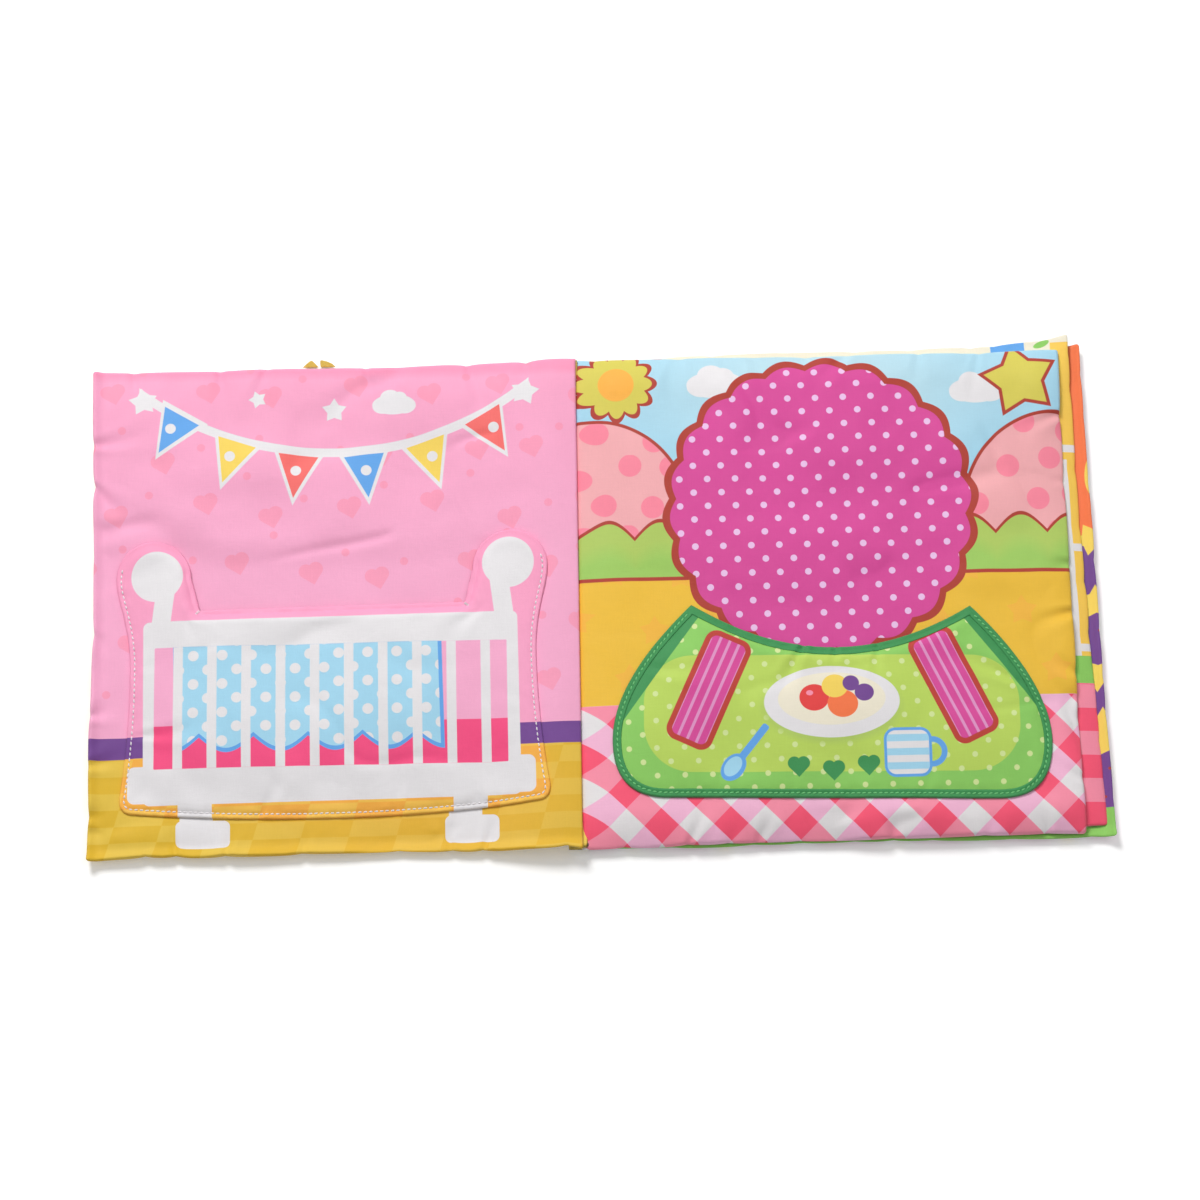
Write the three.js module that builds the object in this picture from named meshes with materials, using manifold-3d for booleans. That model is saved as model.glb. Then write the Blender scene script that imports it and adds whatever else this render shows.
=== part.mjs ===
import * as THREE from 'three';
import { mergeVertices } from 'three/addons/utils/BufferGeometryUtils.js';
import Module from 'manifold-3d';

// A crinkle cloth book, opened at its first spread and lying on a table.
// +X runs across the right-hand pages, +Y to their top edge, +Z up off the table.
// The origin is on the table, under the gutter, half way up the pages.

const wasm = await Module();
wasm.setup();

// Materials by thickness
const clothThickness = 0.35;
const filmThickness = 0.12;
const ribbonThickness = 1;
const plyClearance = 0.1;
const leafClearance = 0.35;
const pieceClearance = 0.3;

// The padded leaf, whole, at the middle of a page, its turned edge and the gutter
const leafLoft = 2.75;
const hemThickness = 1.2;
const gutterThickness = 2;
const puffWidth = 18;
const seamAllowance = 6;
const cornerRound = 2.4;

// Leaves, each measured from the gutter. Each leaf on the right stops short of the one below it.
// Lean, rise and taper are how far the outer corners stand off a true rectangle, and drawIn is
// how far the stitching pulls the sides in.
const pageHeight = 235;
const frontCoverWidth = 229;
const backCoverWidth = 239;
const thirdLeafStep = 6.4;
const secondLeafStep = 7.6;
const thirdLeafWidth = backCoverWidth - thirdLeafStep;
const secondLeafWidth = thirdLeafWidth - secondLeafStep;
const frontCover = {
  side: -1, gutterGap: 0.5, width: frontCoverWidth, lean: 0, rise: 0, taper: 0.6, drawIn: 0.8,
};
const secondLeaf = {
  side: 1, gutterGap: 1.5, width: secondLeafWidth, lean: 0, rise: 0.4, taper: 3.4, drawIn: 0.6,
};
const thirdLeaf = {
  side: 1, gutterGap: 1.5, width: thirdLeafWidth, lean: 2.6, rise: 1.4, taper: 0, drawIn: 0.6,
};
const backCover = {
  side: 1, gutterGap: -0.3, width: backCoverWidth, lean: 1.4, rise: 1.6, taper: -2, drawIn: 0.4,
};

// The third leaf's far top corner curls up and lifts the second leaf with it
const curlHeight = 3;
const curlLength = 45;

// The sewn spine: four leaf margins in a wrap of cover cloth
const marginWidth = 8.5;
const marginThickness = 1.15;
const marginGap = 0.6;
const marginInset = 2;
const marginRound = 0.4;
const wrapThickness = 0.4;
const wrapRound = 0.9;
const wrapLip = 1;

// The front cover rides over the spine and falls to the table beside it
const saddleLength = 10;
const fallLength = 42;
const fallSteps = 5;

// The crib pocket on the front cover's inner page. It is as wide as the page allows, and its
// round ends and its waist are measured from its foot.
const cribPageMargin = 15.7;
const cribOffCentre = 2.5;
const cribWaistDrawIn = 4.8;
const cribLobeStep = 1.6;
const cribLobeRadius = 17.5;
const cribMouthTuck = 4;
const cribCentreX = -frontCoverWidth / 2 - cribOffCentre;
const cribFootHalf = frontCoverWidth / 2 - cribPageMargin;
const cribWaistHalf = cribFootHalf - cribWaistDrawIn;
const cribLobeX = cribFootHalf + cribLobeStep - cribLobeRadius;
const cribMouthHalf = cribLobeX - cribLobeRadius - cribMouthTuck;
const cribMouthY = -0.5;
const cribLobeRise = 16;
const cribWaistDrop = 26;
const cribFootDrop = 88;
const cribCornerRadius = 7;
const cribBottomDrop = 99.6;
const cribTiltDegrees = 0.6;

// The tray pocket on the second leaf's front page, which it fills from side to side
const trayPageMargin = 11.9;
const trayTaper = 36.2;
const trayCentreX = secondLeafWidth / 2;
const trayShoulderHalf = secondLeafWidth / 2 - trayPageMargin;
const trayTipHalf = trayShoulderHalf - trayTaper;
const trayCentreY = -50;
const trayTipRise = 43.6;
const trayMouthSag = 20.4;
const trayShoulderDrop = 20;
const trayBottomDrop = 47;
const trayCornerRadius = 25;
const trayTiltDegrees = -1.5;
const traySideFullness = 2;
const bindingWidth = 4;
const bindingThickness = 0.4;

// Both pockets stand open at the mouth and are sewn down round the other three sides
const pocketGape = 4.3;
const pocketSeat = 0.3;
const gapeFromSide = 34;
const gapeFromBottom = 44;
const lobeDroop = 3.4;

// Two folded ribbon tabs in the front cover's top seam
const ribbonWidth = 7.2;
const ribbonLength = 5.2;
const ribbonTipWidth = 1.6;
const ribbonSeat = 0.35;
const ribbonLeftX = -127;
const ribbonRightX = -118.6;

// Grid lines across a leaf, as shares of the puff width in from each edge
const hemLineShares = [0, 0.1, 1 / 3, 0.72, 1.3, 2.5];
const middleCells = 2;
const pocketCell = 17;
const cutterHeight = 60;
const curveSteps = 5;
const cornerSteps = 4;

const printRoughness = 0.7;
const facedRoughness = 0.65;
const ribbonRoughness = 0.6;
const filmRoughness = 0.3;
const paddingRoughness = 0.9;
const rawRoughness = 0.8;

const colours = {
  pinkPrint: 0xf5a6cb,
  bluePrint: 0x9bcfe8,
  yellowPrint: 0xe9c455,
  purplePrint: 0x7a4a92,
  cribPrint: 0xf0e6ea,
  trayPrint: 0xb4d65c,
  bindingGreen: 0x2f8246,
  ribbonGold: 0xdcb53c,
  lining: 0xf2c9d8,
  padding: 0xf4f3ee,
  film: 0xdfe6ea,
  seamWhite: 0xece8ea,
};

const halfHeight = pageHeight / 2;
const book = new THREE.Group();

const clampShare = (value) => Math.min(Math.max(value, 0), 1);
const easeOut = (value) => 1 - (1 - clampShare(value)) ** 2;
const smooth = (value) => clampShare(value) ** 2 * (3 - 2 * clampShare(value));
const mix = (from, to, share) => from + (to - from) * share;

function addPiece(name, geometry, colour, roughness) {
  const material = new THREE.MeshStandardMaterial({ color: colour, roughness, metalness: 0 });
  const mesh = new THREE.Mesh(geometry, material);
  mesh.name = name;
  book.add(mesh);
  return mesh;
}

// Leaf outlines, from the gutter edge outwards

const bow = (share) => 1 - (2 * share - 1) ** 2;

function outerEdge(leaf, y) {
  return leaf.width - leaf.lean * (y / halfHeight) - leaf.drawIn * bow((y + halfHeight) / pageHeight);
}

function topEdge(leaf, along) {
  const share = along / leaf.width;
  return halfHeight + (leaf.rise - leaf.taper / 2) * share - leaf.drawIn * bow(share);
}

function bottomEdge(leaf, along) {
  const share = along / leaf.width;
  return -halfHeight + (leaf.rise + leaf.taper / 2) * share + leaf.drawIn * bow(share);
}

const alongOf = (leaf, x) => leaf.side * x - leaf.gutterGap;

// Thickness of a whole leaf: full in the middle, thin at the turned edges, pressed at the gutter
function leafThickness(leaf, x, y) {
  const along = alongOf(leaf, x);
  const fromHem = easeOut((outerEdge(leaf, y) - along) / puffWidth)
    * easeOut((topEdge(leaf, along) - y) / puffWidth)
    * easeOut((y - bottomEdge(leaf, along)) / puffWidth);
  const loft = mix(gutterThickness, leafLoft, easeOut(along / puffWidth));
  return mix(hemThickness, loft, fromHem);
}

// 1 on the turned edge, 0 from the seam allowance inwards and under the spine margins
function hemShare(leaf, x, y) {
  const along = alongOf(leaf, x);
  if (along < 0) return 0;
  const inward = Math.min(
    outerEdge(leaf, y) - along,
    topEdge(leaf, along) - y,
    y - bottomEdge(leaf, along),
  );
  return 1 - clampShare(inward / seamAllowance);
}

const gutterShare = (leaf, x) => 1 - clampShare(alongOf(leaf, x) / seamAllowance);

// Heights of the underside of each leaf

const marginNames = ['back_cover_margin', 'third_leaf_margin', 'second_leaf_margin', 'front_cover_margin'];
const firstMargin = clothThickness + plyClearance;
const marginPitch = marginThickness + plyClearance;
const marginTop = firstMargin + marginNames.length * marginPitch;
const wrapTop = marginTop + wrapThickness;
const saddleHeight = wrapTop + pieceClearance;

function cornerCurl(x, y) {
  const outward = clampShare((x - thirdLeaf.gutterGap - thirdLeaf.width + curlLength) / curlLength);
  const upward = clampShare((y - halfHeight + curlLength) / curlLength);
  return curlHeight * outward ** 2 * upward ** 2;
}

frontCover.bottom = (x) => saddleHeight * smooth(1 - (-x - saddleLength) / fallLength);
backCover.bottom = () => 0;
thirdLeaf.bottom = (x, y) => leafTop(backCover, x, y) + leafClearance + cornerCurl(x, y);
secondLeaf.bottom = (x, y) => leafTop(thirdLeaf, x, y) + leafClearance;

function leafTop(leaf, x, y) {
  return leaf.bottom(x, y) + leafThickness(leaf, x, y);
}

// The plies of a leaf, from the table up: back panel, crinkle film, padding, front panel

function hemThickening(leaf, x, y) {
  const spare = leafThickness(leaf, x, y) / 2 - plyClearance / 2 - clothThickness;
  return hemShare(leaf, x, y) * spare;
}

function backPanelTop(leaf, x, y) {
  return leaf.bottom(x, y) + clothThickness + hemThickening(leaf, x, y);
}

function frontPanelBottom(leaf, x, y) {
  const open = leafTop(leaf, x, y) - clothThickness - hemThickening(leaf, x, y);
  return mix(open, backPanelTop(leaf, x, y) + plyClearance, gutterShare(leaf, x));
}

const filmBottom = (leaf, x, y) => backPanelTop(leaf, x, y) + plyClearance;
const filmTop = (leaf, x, y) => filmBottom(leaf, x, y) + filmThickness;
const paddingBottom = (leaf, x, y) => filmTop(leaf, x, y) + plyClearance;
const paddingTop = (leaf, x, y) => frontPanelBottom(leaf, x, y) - plyClearance;

// Grid lines of a leaf

const hemLines = hemLineShares.map((share) => share * puffWidth);

function spread(from, to, cells) {
  return Array.from({ length: cells - 1 }, (_, k) => mix(from, to, (k + 1) / cells));
}

function linesAcross(length) {
  const near = hemLines;
  const far = hemLines.map((line) => length - line).reverse();
  return [...near, ...spread(near.at(-1), far[0], middleCells), ...far];
}

// The front cover has a line at each step of its fall from the spine
function linesAlong(leaf) {
  if (leaf !== frontCover) return linesAcross(leaf.width);
  const fallStart = saddleLength - leaf.gutterGap;
  const fallEnd = fallStart + fallLength;
  const fall = [fallStart, ...spread(fallStart, fallEnd, fallSteps), fallEnd];
  const far = hemLines.map((line) => leaf.width - line).reverse();
  const flat = spread(fallEnd, far[0], middleCells);
  return [0, seamAllowance / 3, seamAllowance, ...fall, ...flat, ...far];
}

const heightLines = linesAcross(pageHeight);

function leafPoint(leaf, along, up) {
  const outerShare = outerEdge(leaf, up - halfHeight) / leaf.width;
  const reach = along * outerShare;
  const y = mix(bottomEdge(leaf, reach), topEdge(leaf, reach), up / pageHeight);
  return [reach, y];
}

// Pulls the outer corners of a leaf in to a round
function roundedPoint(leaf, along, up) {
  const corner = along === leaf.width && (up === 0 || up === pageHeight);
  const pull = corner ? cornerRound * (1 - Math.SQRT1_2) : 0;
  const inward = up === 0 ? pull : -pull;
  const [reach, y] = leafPoint(leaf, along, up);
  return [leaf.side * (leaf.gutterGap + reach - pull), y + inward];
}

// A thin solid between two height functions over a grid of points in plan, with the same
// diagonals on both faces, so that stacked sheets nest
function sheetBetween(grid, lower, upper) {
  const columns = grid.length;
  const rows = grid[0].length;
  const layer = columns * rows;
  const positions = [];
  for (const height of [lower, upper]) {
    for (const column of grid) {
      for (const [x, y] of column) positions.push(x, y, height(x, y));
    }
  }
  const faces = [];
  const quad = (a, b, c, d) => faces.push(a, b, c, a, c, d);
  const at = (i, j) => i * rows + j;
  for (let i = 0; i < columns - 1; i += 1) {
    for (let j = 0; j < rows - 1; j += 1) {
      quad(at(i, j), at(i, j + 1), at(i + 1, j + 1), at(i + 1, j));
      quad(at(i, j) + layer, at(i + 1, j) + layer, at(i + 1, j + 1) + layer, at(i, j + 1) + layer);
    }
    const end = rows - 1;
    quad(at(i, 0), at(i + 1, 0), at(i + 1, 0) + layer, at(i, 0) + layer);
    quad(at(i + 1, end), at(i, end), at(i, end) + layer, at(i + 1, end) + layer);
  }
  for (let j = 0; j < rows - 1; j += 1) {
    const end = columns - 1;
    quad(at(0, j + 1), at(0, j), at(0, j) + layer, at(0, j + 1) + layer);
    quad(at(end, j), at(end, j + 1), at(end, j + 1) + layer, at(end, j) + layer);
  }
  const geometry = new THREE.BufferGeometry();
  geometry.setAttribute('position', new THREE.Float32BufferAttribute(positions, 3));
  geometry.setIndex(faces);
  return geometry;
}

function leafGrid(leaf, columnLines, rowLines) {
  const grid = columnLines.map((along) => rowLines.map((up) => roundedPoint(leaf, along, up)));
  return leaf.side < 0 ? grid.reverse() : grid;
}

// Sewn leaves: two printed panels with crinkle film and padding between them
function addLeaf(leaf, names, frontColour, backColour) {
  const columns = linesAlong(leaf);
  const whole = leafGrid(leaf, columns, heightLines);
  const within = (lines, length) => lines.filter(
    (line) => line >= seamAllowance && line <= length - seamAllowance,
  );
  const inside = leafGrid(leaf, within(columns, leaf.width), within(heightLines, pageHeight));
  const backGrid = leaf === backCover ? withMarginColumns(whole) : whole;
  const sheet = (grid, lower, upper) => sheetBetween(
    grid,
    (x, y) => lower(leaf, x, y),
    (x, y) => upper(leaf, x, y),
  );
  const underside = (of, x, y) => of.bottom(x, y);
  addPiece(names.back, sheet(backGrid, underside, backPanelTop), backColour, printRoughness);
  addPiece(names.film, sheet(inside, filmBottom, filmTop), colours.film, filmRoughness);
  addPiece(names.padding, sheet(inside, paddingBottom, paddingTop), colours.padding, paddingRoughness);
  addPiece(names.front, sheet(whole, frontPanelBottom, leafTop), frontColour, printRoughness);
}

// The back cover's outer panel runs on under the spine margins
function withMarginColumns(grid) {
  const margin = [-marginGap - marginWidth, -marginGap].map((x) => grid[0].map(([, y]) => [x, y]));
  return [...margin, ...grid];
}

const leafNames = (stem, back, front) => ({
  back: `${stem}_${back}`,
  film: `${stem}_crinkle_film`,
  padding: `${stem}_padding`,
  front: `${stem}_${front}`,
});

const coverNames = (stem) => leafNames(stem, 'outer_panel', 'inner_panel');
const insideNames = (stem) => leafNames(stem, 'back_panel', 'front_panel');

addLeaf(backCover, coverNames('back_cover'), colours.purplePrint, colours.pinkPrint);
addLeaf(thirdLeaf, insideNames('third_leaf'), colours.yellowPrint, colours.bluePrint);
addLeaf(secondLeaf, insideNames('second_leaf'), colours.bluePrint, colours.yellowPrint);
addLeaf(frontCover, coverNames('front_cover'), colours.pinkPrint, colours.yellowPrint);

// Spine

function alongSpine(shape, length) {
  const geometry = new THREE.ExtrudeGeometry(shape, {
    depth: length,
    bevelEnabled: false,
    curveSegments: cornerSteps,
  });
  geometry.rotateX(Math.PI / 2);
  geometry.translate(0, length / 2, 0);
  return mergedSolid(geometry);
}

function mergedSolid(geometry) {
  geometry.deleteAttribute('normal');
  geometry.deleteAttribute('uv');
  return mergeVertices(geometry);
}

// A leaf's margin is pressed flat, with its cut edge rounded off
function marginSection(floor) {
  const left = -marginGap - marginWidth;
  const right = -marginGap;
  const top = floor + marginThickness;
  const shape = new THREE.Shape();
  shape.moveTo(left + marginRound, floor);
  shape.lineTo(right, floor);
  shape.lineTo(right, top);
  shape.lineTo(left + marginRound, top);
  shape.absarc(left + marginRound, top - marginRound, marginRound, Math.PI / 2, Math.PI, false);
  shape.absarc(left + marginRound, floor + marginRound, marginRound, Math.PI, Math.PI * 1.5, false);
  return shape;
}

marginNames.forEach((name, k) => {
  const section = marginSection(firstMargin + k * marginPitch);
  addPiece(name, alongSpine(section, pageHeight - marginInset * 2), colours.seamWhite, rawRoughness);
});

// Cover cloth folded round the cut edges of the margins, from the table to the gutter
function wrapSection() {
  const inner = -marginGap - marginWidth - pieceClearance;
  const outer = inner - wrapThickness;
  const lip = -wrapLip;
  const shape = new THREE.Shape();
  shape.moveTo(outer, 0);
  shape.lineTo(inner, 0);
  shape.lineTo(inner, marginTop - wrapRound + wrapThickness);
  shape.absarc(inner + wrapRound - wrapThickness, marginTop - wrapRound + wrapThickness,
    wrapRound - wrapThickness, Math.PI, Math.PI / 2, true);
  shape.lineTo(lip, marginTop);
  shape.lineTo(lip, wrapTop);
  shape.lineTo(outer + wrapRound, wrapTop);
  shape.absarc(outer + wrapRound, wrapTop - wrapRound, wrapRound, Math.PI / 2, Math.PI, false);
  return shape;
}

addPiece('spine_wrap', alongSpine(wrapSection(), pageHeight - marginInset), colours.yellowPrint,
  printRoughness);

// Pocket outlines, each about its own centre

function cribOutline() {
  const shape = new THREE.Shape();
  const lobeEdge = cribLobeX + cribLobeRadius;
  const bend = (cribLobeRise + cribWaistDrop) / 2;
  const foot = cribFootDrop + cribCornerRadius;
  shape.moveTo(-cribMouthHalf, 0);
  shape.lineTo(cribMouthHalf, 0);
  shape.lineTo(cribLobeX - cribLobeRadius, cribLobeRise);
  shape.absarc(cribLobeX, cribLobeRise, cribLobeRadius, Math.PI, 0, true);
  shape.bezierCurveTo(lobeEdge, cribLobeRise - bend / 2, cribWaistHalf, -cribWaistDrop + bend,
    cribWaistHalf, -cribWaistDrop);
  shape.quadraticCurveTo(cribWaistHalf, (-cribWaistDrop - cribFootDrop) / 2, cribFootHalf, -cribFootDrop);
  shape.quadraticCurveTo(cribFootHalf, -foot, cribFootHalf - cribCornerRadius, -foot);
  shape.quadraticCurveTo(0, 2 * (foot - cribBottomDrop) - foot, cribCornerRadius - cribFootHalf, -foot);
  shape.quadraticCurveTo(-cribFootHalf, -foot, -cribFootHalf, -cribFootDrop);
  shape.quadraticCurveTo(-cribWaistHalf, (-cribWaistDrop - cribFootDrop) / 2, -cribWaistHalf, -cribWaistDrop);
  shape.bezierCurveTo(-cribWaistHalf, -cribWaistDrop + bend, -lobeEdge, cribLobeRise - bend / 2,
    -lobeEdge, cribLobeRise);
  shape.absarc(-cribLobeX, cribLobeRise, cribLobeRadius, Math.PI, 0, true);
  return shape;
}

// The tray's bound edge is inset by its own width to give the edge of the face inside it
function trayOutline(inset) {
  const shape = new THREE.Shape();
  const tip = trayTipHalf - inset;
  const tipRise = trayTipRise - inset * 2;
  const shoulder = trayShoulderHalf - inset;
  const bottom = trayBottomDrop - inset;
  const corner = trayCornerRadius - inset;
  const sag = tipRise - 2 * (trayMouthSag - inset);
  const bend = tipRise - trayTaper; // the side leaves the tip at 45 degrees
  shape.moveTo(-tip, tipRise);
  shape.quadraticCurveTo(-shoulder, bend, -shoulder, -trayShoulderDrop);
  shape.quadraticCurveTo(-shoulder, -bottom, corner - shoulder, -bottom);
  shape.lineTo(shoulder - corner, -bottom);
  shape.quadraticCurveTo(shoulder, -bottom, shoulder, -trayShoulderDrop);
  shape.quadraticCurveTo(shoulder, bend, tip, tipRise);
  shape.quadraticCurveTo(0, sag, -tip, tipRise);
  return shape;
}

function cutter(outline, centreX, centreY, tiltDegrees) {
  const geometry = new THREE.ExtrudeGeometry(outline, {
    depth: cutterHeight,
    bevelEnabled: false,
    curveSegments: curveSteps,
  });
  geometry.translate(0, 0, -cutterHeight / 2);
  geometry.rotateZ(THREE.MathUtils.degToRad(tiltDegrees));
  geometry.translate(centreX, centreY, 0);
  return solidOf(mergedSolid(geometry));
}

function solidOf(geometry) {
  const mesh = new wasm.Mesh({
    numProp: 3,
    vertProperties: new Float32Array(geometry.getAttribute('position').array),
    triVerts: new Uint32Array(geometry.index.array),
  });
  return new wasm.Manifold(mesh);
}

function geometryOf(solid) {
  const mesh = solid.getMesh();
  const geometry = new THREE.BufferGeometry();
  const positions = new THREE.BufferAttribute(new Float32Array(mesh.vertProperties), mesh.numProp);
  geometry.setAttribute('position', positions);
  geometry.setIndex(new THREE.BufferAttribute(new Uint32Array(mesh.triVerts), 1));
  return geometry;
}

// How far each pocket stands off its page, from 0 along the seams to 1 in the open middle

function turnedAbout(x, y, centreX, centreY, tiltDegrees) {
  const turn = THREE.MathUtils.degToRad(-tiltDegrees);
  const dx = x - centreX;
  const dy = y - centreY;
  return [dx * Math.cos(turn) - dy * Math.sin(turn), dx * Math.sin(turn) + dy * Math.cos(turn)];
}

function cribGape(x, y) {
  const [across, up] = turnedAbout(x, y, cribCentreX, cribMouthY, cribTiltDegrees);
  const side = easeOut((cribWaistHalf - Math.abs(across)) / gapeFromSide);
  const rise = easeOut((up + cribBottomDrop) / gapeFromBottom);
  const lobeShare = smooth(up / (cribLobeRise + cribLobeRadius));
  return pocketGape * side * rise * (1 - lobeShare / 2) + lobeDroop * lobeShare * (1 - side) / 2;
}

function trayGape(x, y) {
  const [across, up] = turnedAbout(x, y, trayCentreX, trayCentreY, trayTiltDegrees);
  const rise = clampShare((up + trayShoulderDrop) / (trayShoulderDrop + trayTipRise));
  const edge = trayShoulderHalf - trayTaper * rise ** traySideFullness;
  const side = easeOut((edge - Math.abs(across)) / gapeFromSide);
  return pocketGape * side * easeOut((up + trayBottomDrop) / gapeFromBottom);
}

// The page's own grid lines near a pocket, with more between them over the flat of the page
function pocketGrid(leaf, lowX, highX, lowY, highY) {
  const flatFrom = puffWidth;
  const split = (lines, length, start) => lines.flatMap((line, k) => {
    const next = lines[k + 1];
    const flat = next !== undefined && line >= start && next <= length - flatFrom;
    return flat ? [line, ...spread(line, next, Math.ceil((next - line) / pocketCell))] : [line];
  });
  const flatStart = leaf === frontCover ? saddleLength + fallLength - leaf.gutterGap : flatFrom;
  const columns = split(linesAlong(leaf), leaf.width, flatStart);
  const rows = split(heightLines, pageHeight, flatFrom);
  const xOf = (along) => roundedPoint(leaf, along, halfHeight)[0];
  const keptColumns = keepAround(columns, (along) => xOf(along), lowX, highX);
  const keptRows = keepAround(rows, (up) => up - halfHeight, lowY, highY);
  return leafGrid(leaf, keptColumns, keptRows);
}

// Lines inside a span, with the first one beyond it on each side
function keepAround(lines, place, low, high) {
  return lines.filter((line, k) => {
    const spanEnds = [lines[k - 1] ?? line, lines[k + 1] ?? line].map(place);
    const nearest = Math.min(place(line), ...spanEnds);
    const farthest = Math.max(place(line), ...spanEnds);
    return farthest >= low && nearest <= high;
  });
}

function pocketSheet(leaf, grid, gape, floor, thickness, cut) {
  const lower = (x, y) => leafTop(leaf, x, y) + pocketSeat + gape(x, y) + floor;
  const sheet = sheetBetween(grid, lower, (x, y) => lower(x, y) + thickness);
  return geometryOf(solidOf(sheet).intersect(cut));
}

const faceFloor = clothThickness + plyClearance;
const bindingFloor = faceFloor + clothThickness + plyClearance;

const cribReach = cribFootHalf + cribCornerRadius;
const cribLow = cribMouthY - cribBottomDrop - cribCornerRadius;
const cribHigh = cribMouthY + cribLobeRise + cribLobeRadius + cribCornerRadius;
const cribGrid = pocketGrid(frontCover, cribCentreX - cribReach, cribCentreX + cribReach, cribLow, cribHigh);
const cribCut = cutter(cribOutline(), cribCentreX, cribMouthY, cribTiltDegrees);
addPiece('crib_pocket_lining', pocketSheet(frontCover, cribGrid, cribGape, 0, clothThickness, cribCut),
  colours.lining, rawRoughness);
addPiece('crib_pocket_face', pocketSheet(frontCover, cribGrid, cribGape, faceFloor, clothThickness, cribCut),
  colours.cribPrint, facedRoughness);

const trayReach = trayShoulderHalf + bindingWidth;
const trayGrid = pocketGrid(secondLeaf, trayCentreX - trayReach, trayCentreX + trayReach,
  trayCentreY - trayBottomDrop - bindingWidth, trayCentreY + trayTipRise + bindingWidth);
const trayCut = cutter(trayOutline(0), trayCentreX, trayCentreY, trayTiltDegrees);
const bindingCut = trayCut.subtract(
  cutter(trayOutline(bindingWidth), trayCentreX, trayCentreY, trayTiltDegrees),
);
addPiece('tray_pocket_lining', pocketSheet(secondLeaf, trayGrid, trayGape, 0, clothThickness, trayCut),
  colours.lining, rawRoughness);
addPiece('tray_pocket_face', pocketSheet(secondLeaf, trayGrid, trayGape, faceFloor, clothThickness, trayCut),
  colours.trayPrint, facedRoughness);
addPiece('tray_pocket_binding',
  pocketSheet(secondLeaf, trayGrid, trayGape, bindingFloor, bindingThickness, bindingCut),
  colours.bindingGreen, printRoughness);

// Ribbon tabs: a folded ribbon whose two ends stand out of the seam as points
function ribbonTab() {
  const shape = new THREE.Shape();
  const half = ribbonWidth / 2;
  const tip = ribbonTipWidth / 2;
  shape.moveTo(-half, 0);
  shape.lineTo(half, 0);
  shape.lineTo(tip, ribbonLength - tip);
  shape.quadraticCurveTo(0, ribbonLength + tip / 2, -tip, ribbonLength - tip);
  const geometry = new THREE.ExtrudeGeometry(shape, {
    depth: ribbonThickness,
    bevelEnabled: false,
    curveSegments: cornerSteps,
  });
  return mergedSolid(geometry);
}

function addRibbon(name, x) {
  const tab = addPiece(name, ribbonTab(), colours.ribbonGold, ribbonRoughness);
  const seam = topEdge(frontCover, alongOf(frontCover, x));
  tab.position.set(x, seam + ribbonSeat, 0);
}

addRibbon('ribbon_tab_left', ribbonLeftX);
addRibbon('ribbon_tab_right', ribbonRightX);

export default book;
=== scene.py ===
import math

import bpy
import numpy as np
from mathutils import Matrix, Vector
from mathutils.geometry import delaunay_2d_cdt


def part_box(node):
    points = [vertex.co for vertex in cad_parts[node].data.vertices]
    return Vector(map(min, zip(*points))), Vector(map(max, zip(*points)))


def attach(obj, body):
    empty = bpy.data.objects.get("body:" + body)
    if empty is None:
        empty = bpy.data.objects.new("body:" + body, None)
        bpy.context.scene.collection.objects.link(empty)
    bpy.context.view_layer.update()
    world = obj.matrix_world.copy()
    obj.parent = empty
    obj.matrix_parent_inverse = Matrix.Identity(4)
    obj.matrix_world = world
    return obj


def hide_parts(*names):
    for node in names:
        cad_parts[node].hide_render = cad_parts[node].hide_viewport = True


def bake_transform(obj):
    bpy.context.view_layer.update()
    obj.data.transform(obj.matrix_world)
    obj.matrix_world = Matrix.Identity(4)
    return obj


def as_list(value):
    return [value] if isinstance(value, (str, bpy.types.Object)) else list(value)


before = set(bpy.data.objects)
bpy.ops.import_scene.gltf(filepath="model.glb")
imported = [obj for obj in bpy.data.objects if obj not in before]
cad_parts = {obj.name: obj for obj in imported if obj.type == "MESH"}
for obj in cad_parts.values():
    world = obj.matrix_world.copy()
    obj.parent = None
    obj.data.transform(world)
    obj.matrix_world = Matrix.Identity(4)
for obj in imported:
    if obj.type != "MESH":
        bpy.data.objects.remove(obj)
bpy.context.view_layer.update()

# A crinkle cloth book, opened at its first spread. Sizes here are in mm, and meshes are made in metres.
mm = 0.001
print("frame loaded")

# Camera, set as the photograph was taken

camera = {
    "lens": 93.99,
    "sensor": 36,
    "target": (7.2, 1.0, 0),
    "distance": 1459,
    "tilt": 75.95,       # degrees above the table
    "yaw": 1.32,         # degrees that the book lies turned on the table
}


def addCamera(values):
    data = bpy.data.cameras.new("camera")
    data.lens = values["lens"]
    data.sensor_width = values["sensor"]
    data.clip_start = 0.05
    data.clip_end = 20
    tilt = math.radians(values["tilt"])
    turn = Matrix.Rotation(-math.radians(values["yaw"]), 3, "Z")
    right = turn @ Vector((1, 0, 0))
    up = turn @ Vector((0, math.sin(tilt), math.cos(tilt)))
    back = turn @ Vector((0, -math.cos(tilt), math.sin(tilt)))
    place = (turn @ Vector(values["target"]) + back * values["distance"]) * mm
    made = bpy.data.objects.new("camera", data)
    bpy.context.collection.objects.link(made)
    facing = Matrix((right, up, back)).transposed().to_4x4()
    made.matrix_world = Matrix.Translation(place) @ facing
    bpy.context.scene.camera = made


addCamera(camera)

# Helpers for node trees

def feed(tree, node, socket, value):
    if isinstance(value, Number):
        value = value.socket
    if isinstance(value, bpy.types.Node):
        value = value.outputs[0]
    if isinstance(value, bpy.types.NodeSocket):
        tree.links.new(value, node.inputs[socket])
    else:
        node.inputs[socket].default_value = value


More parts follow.
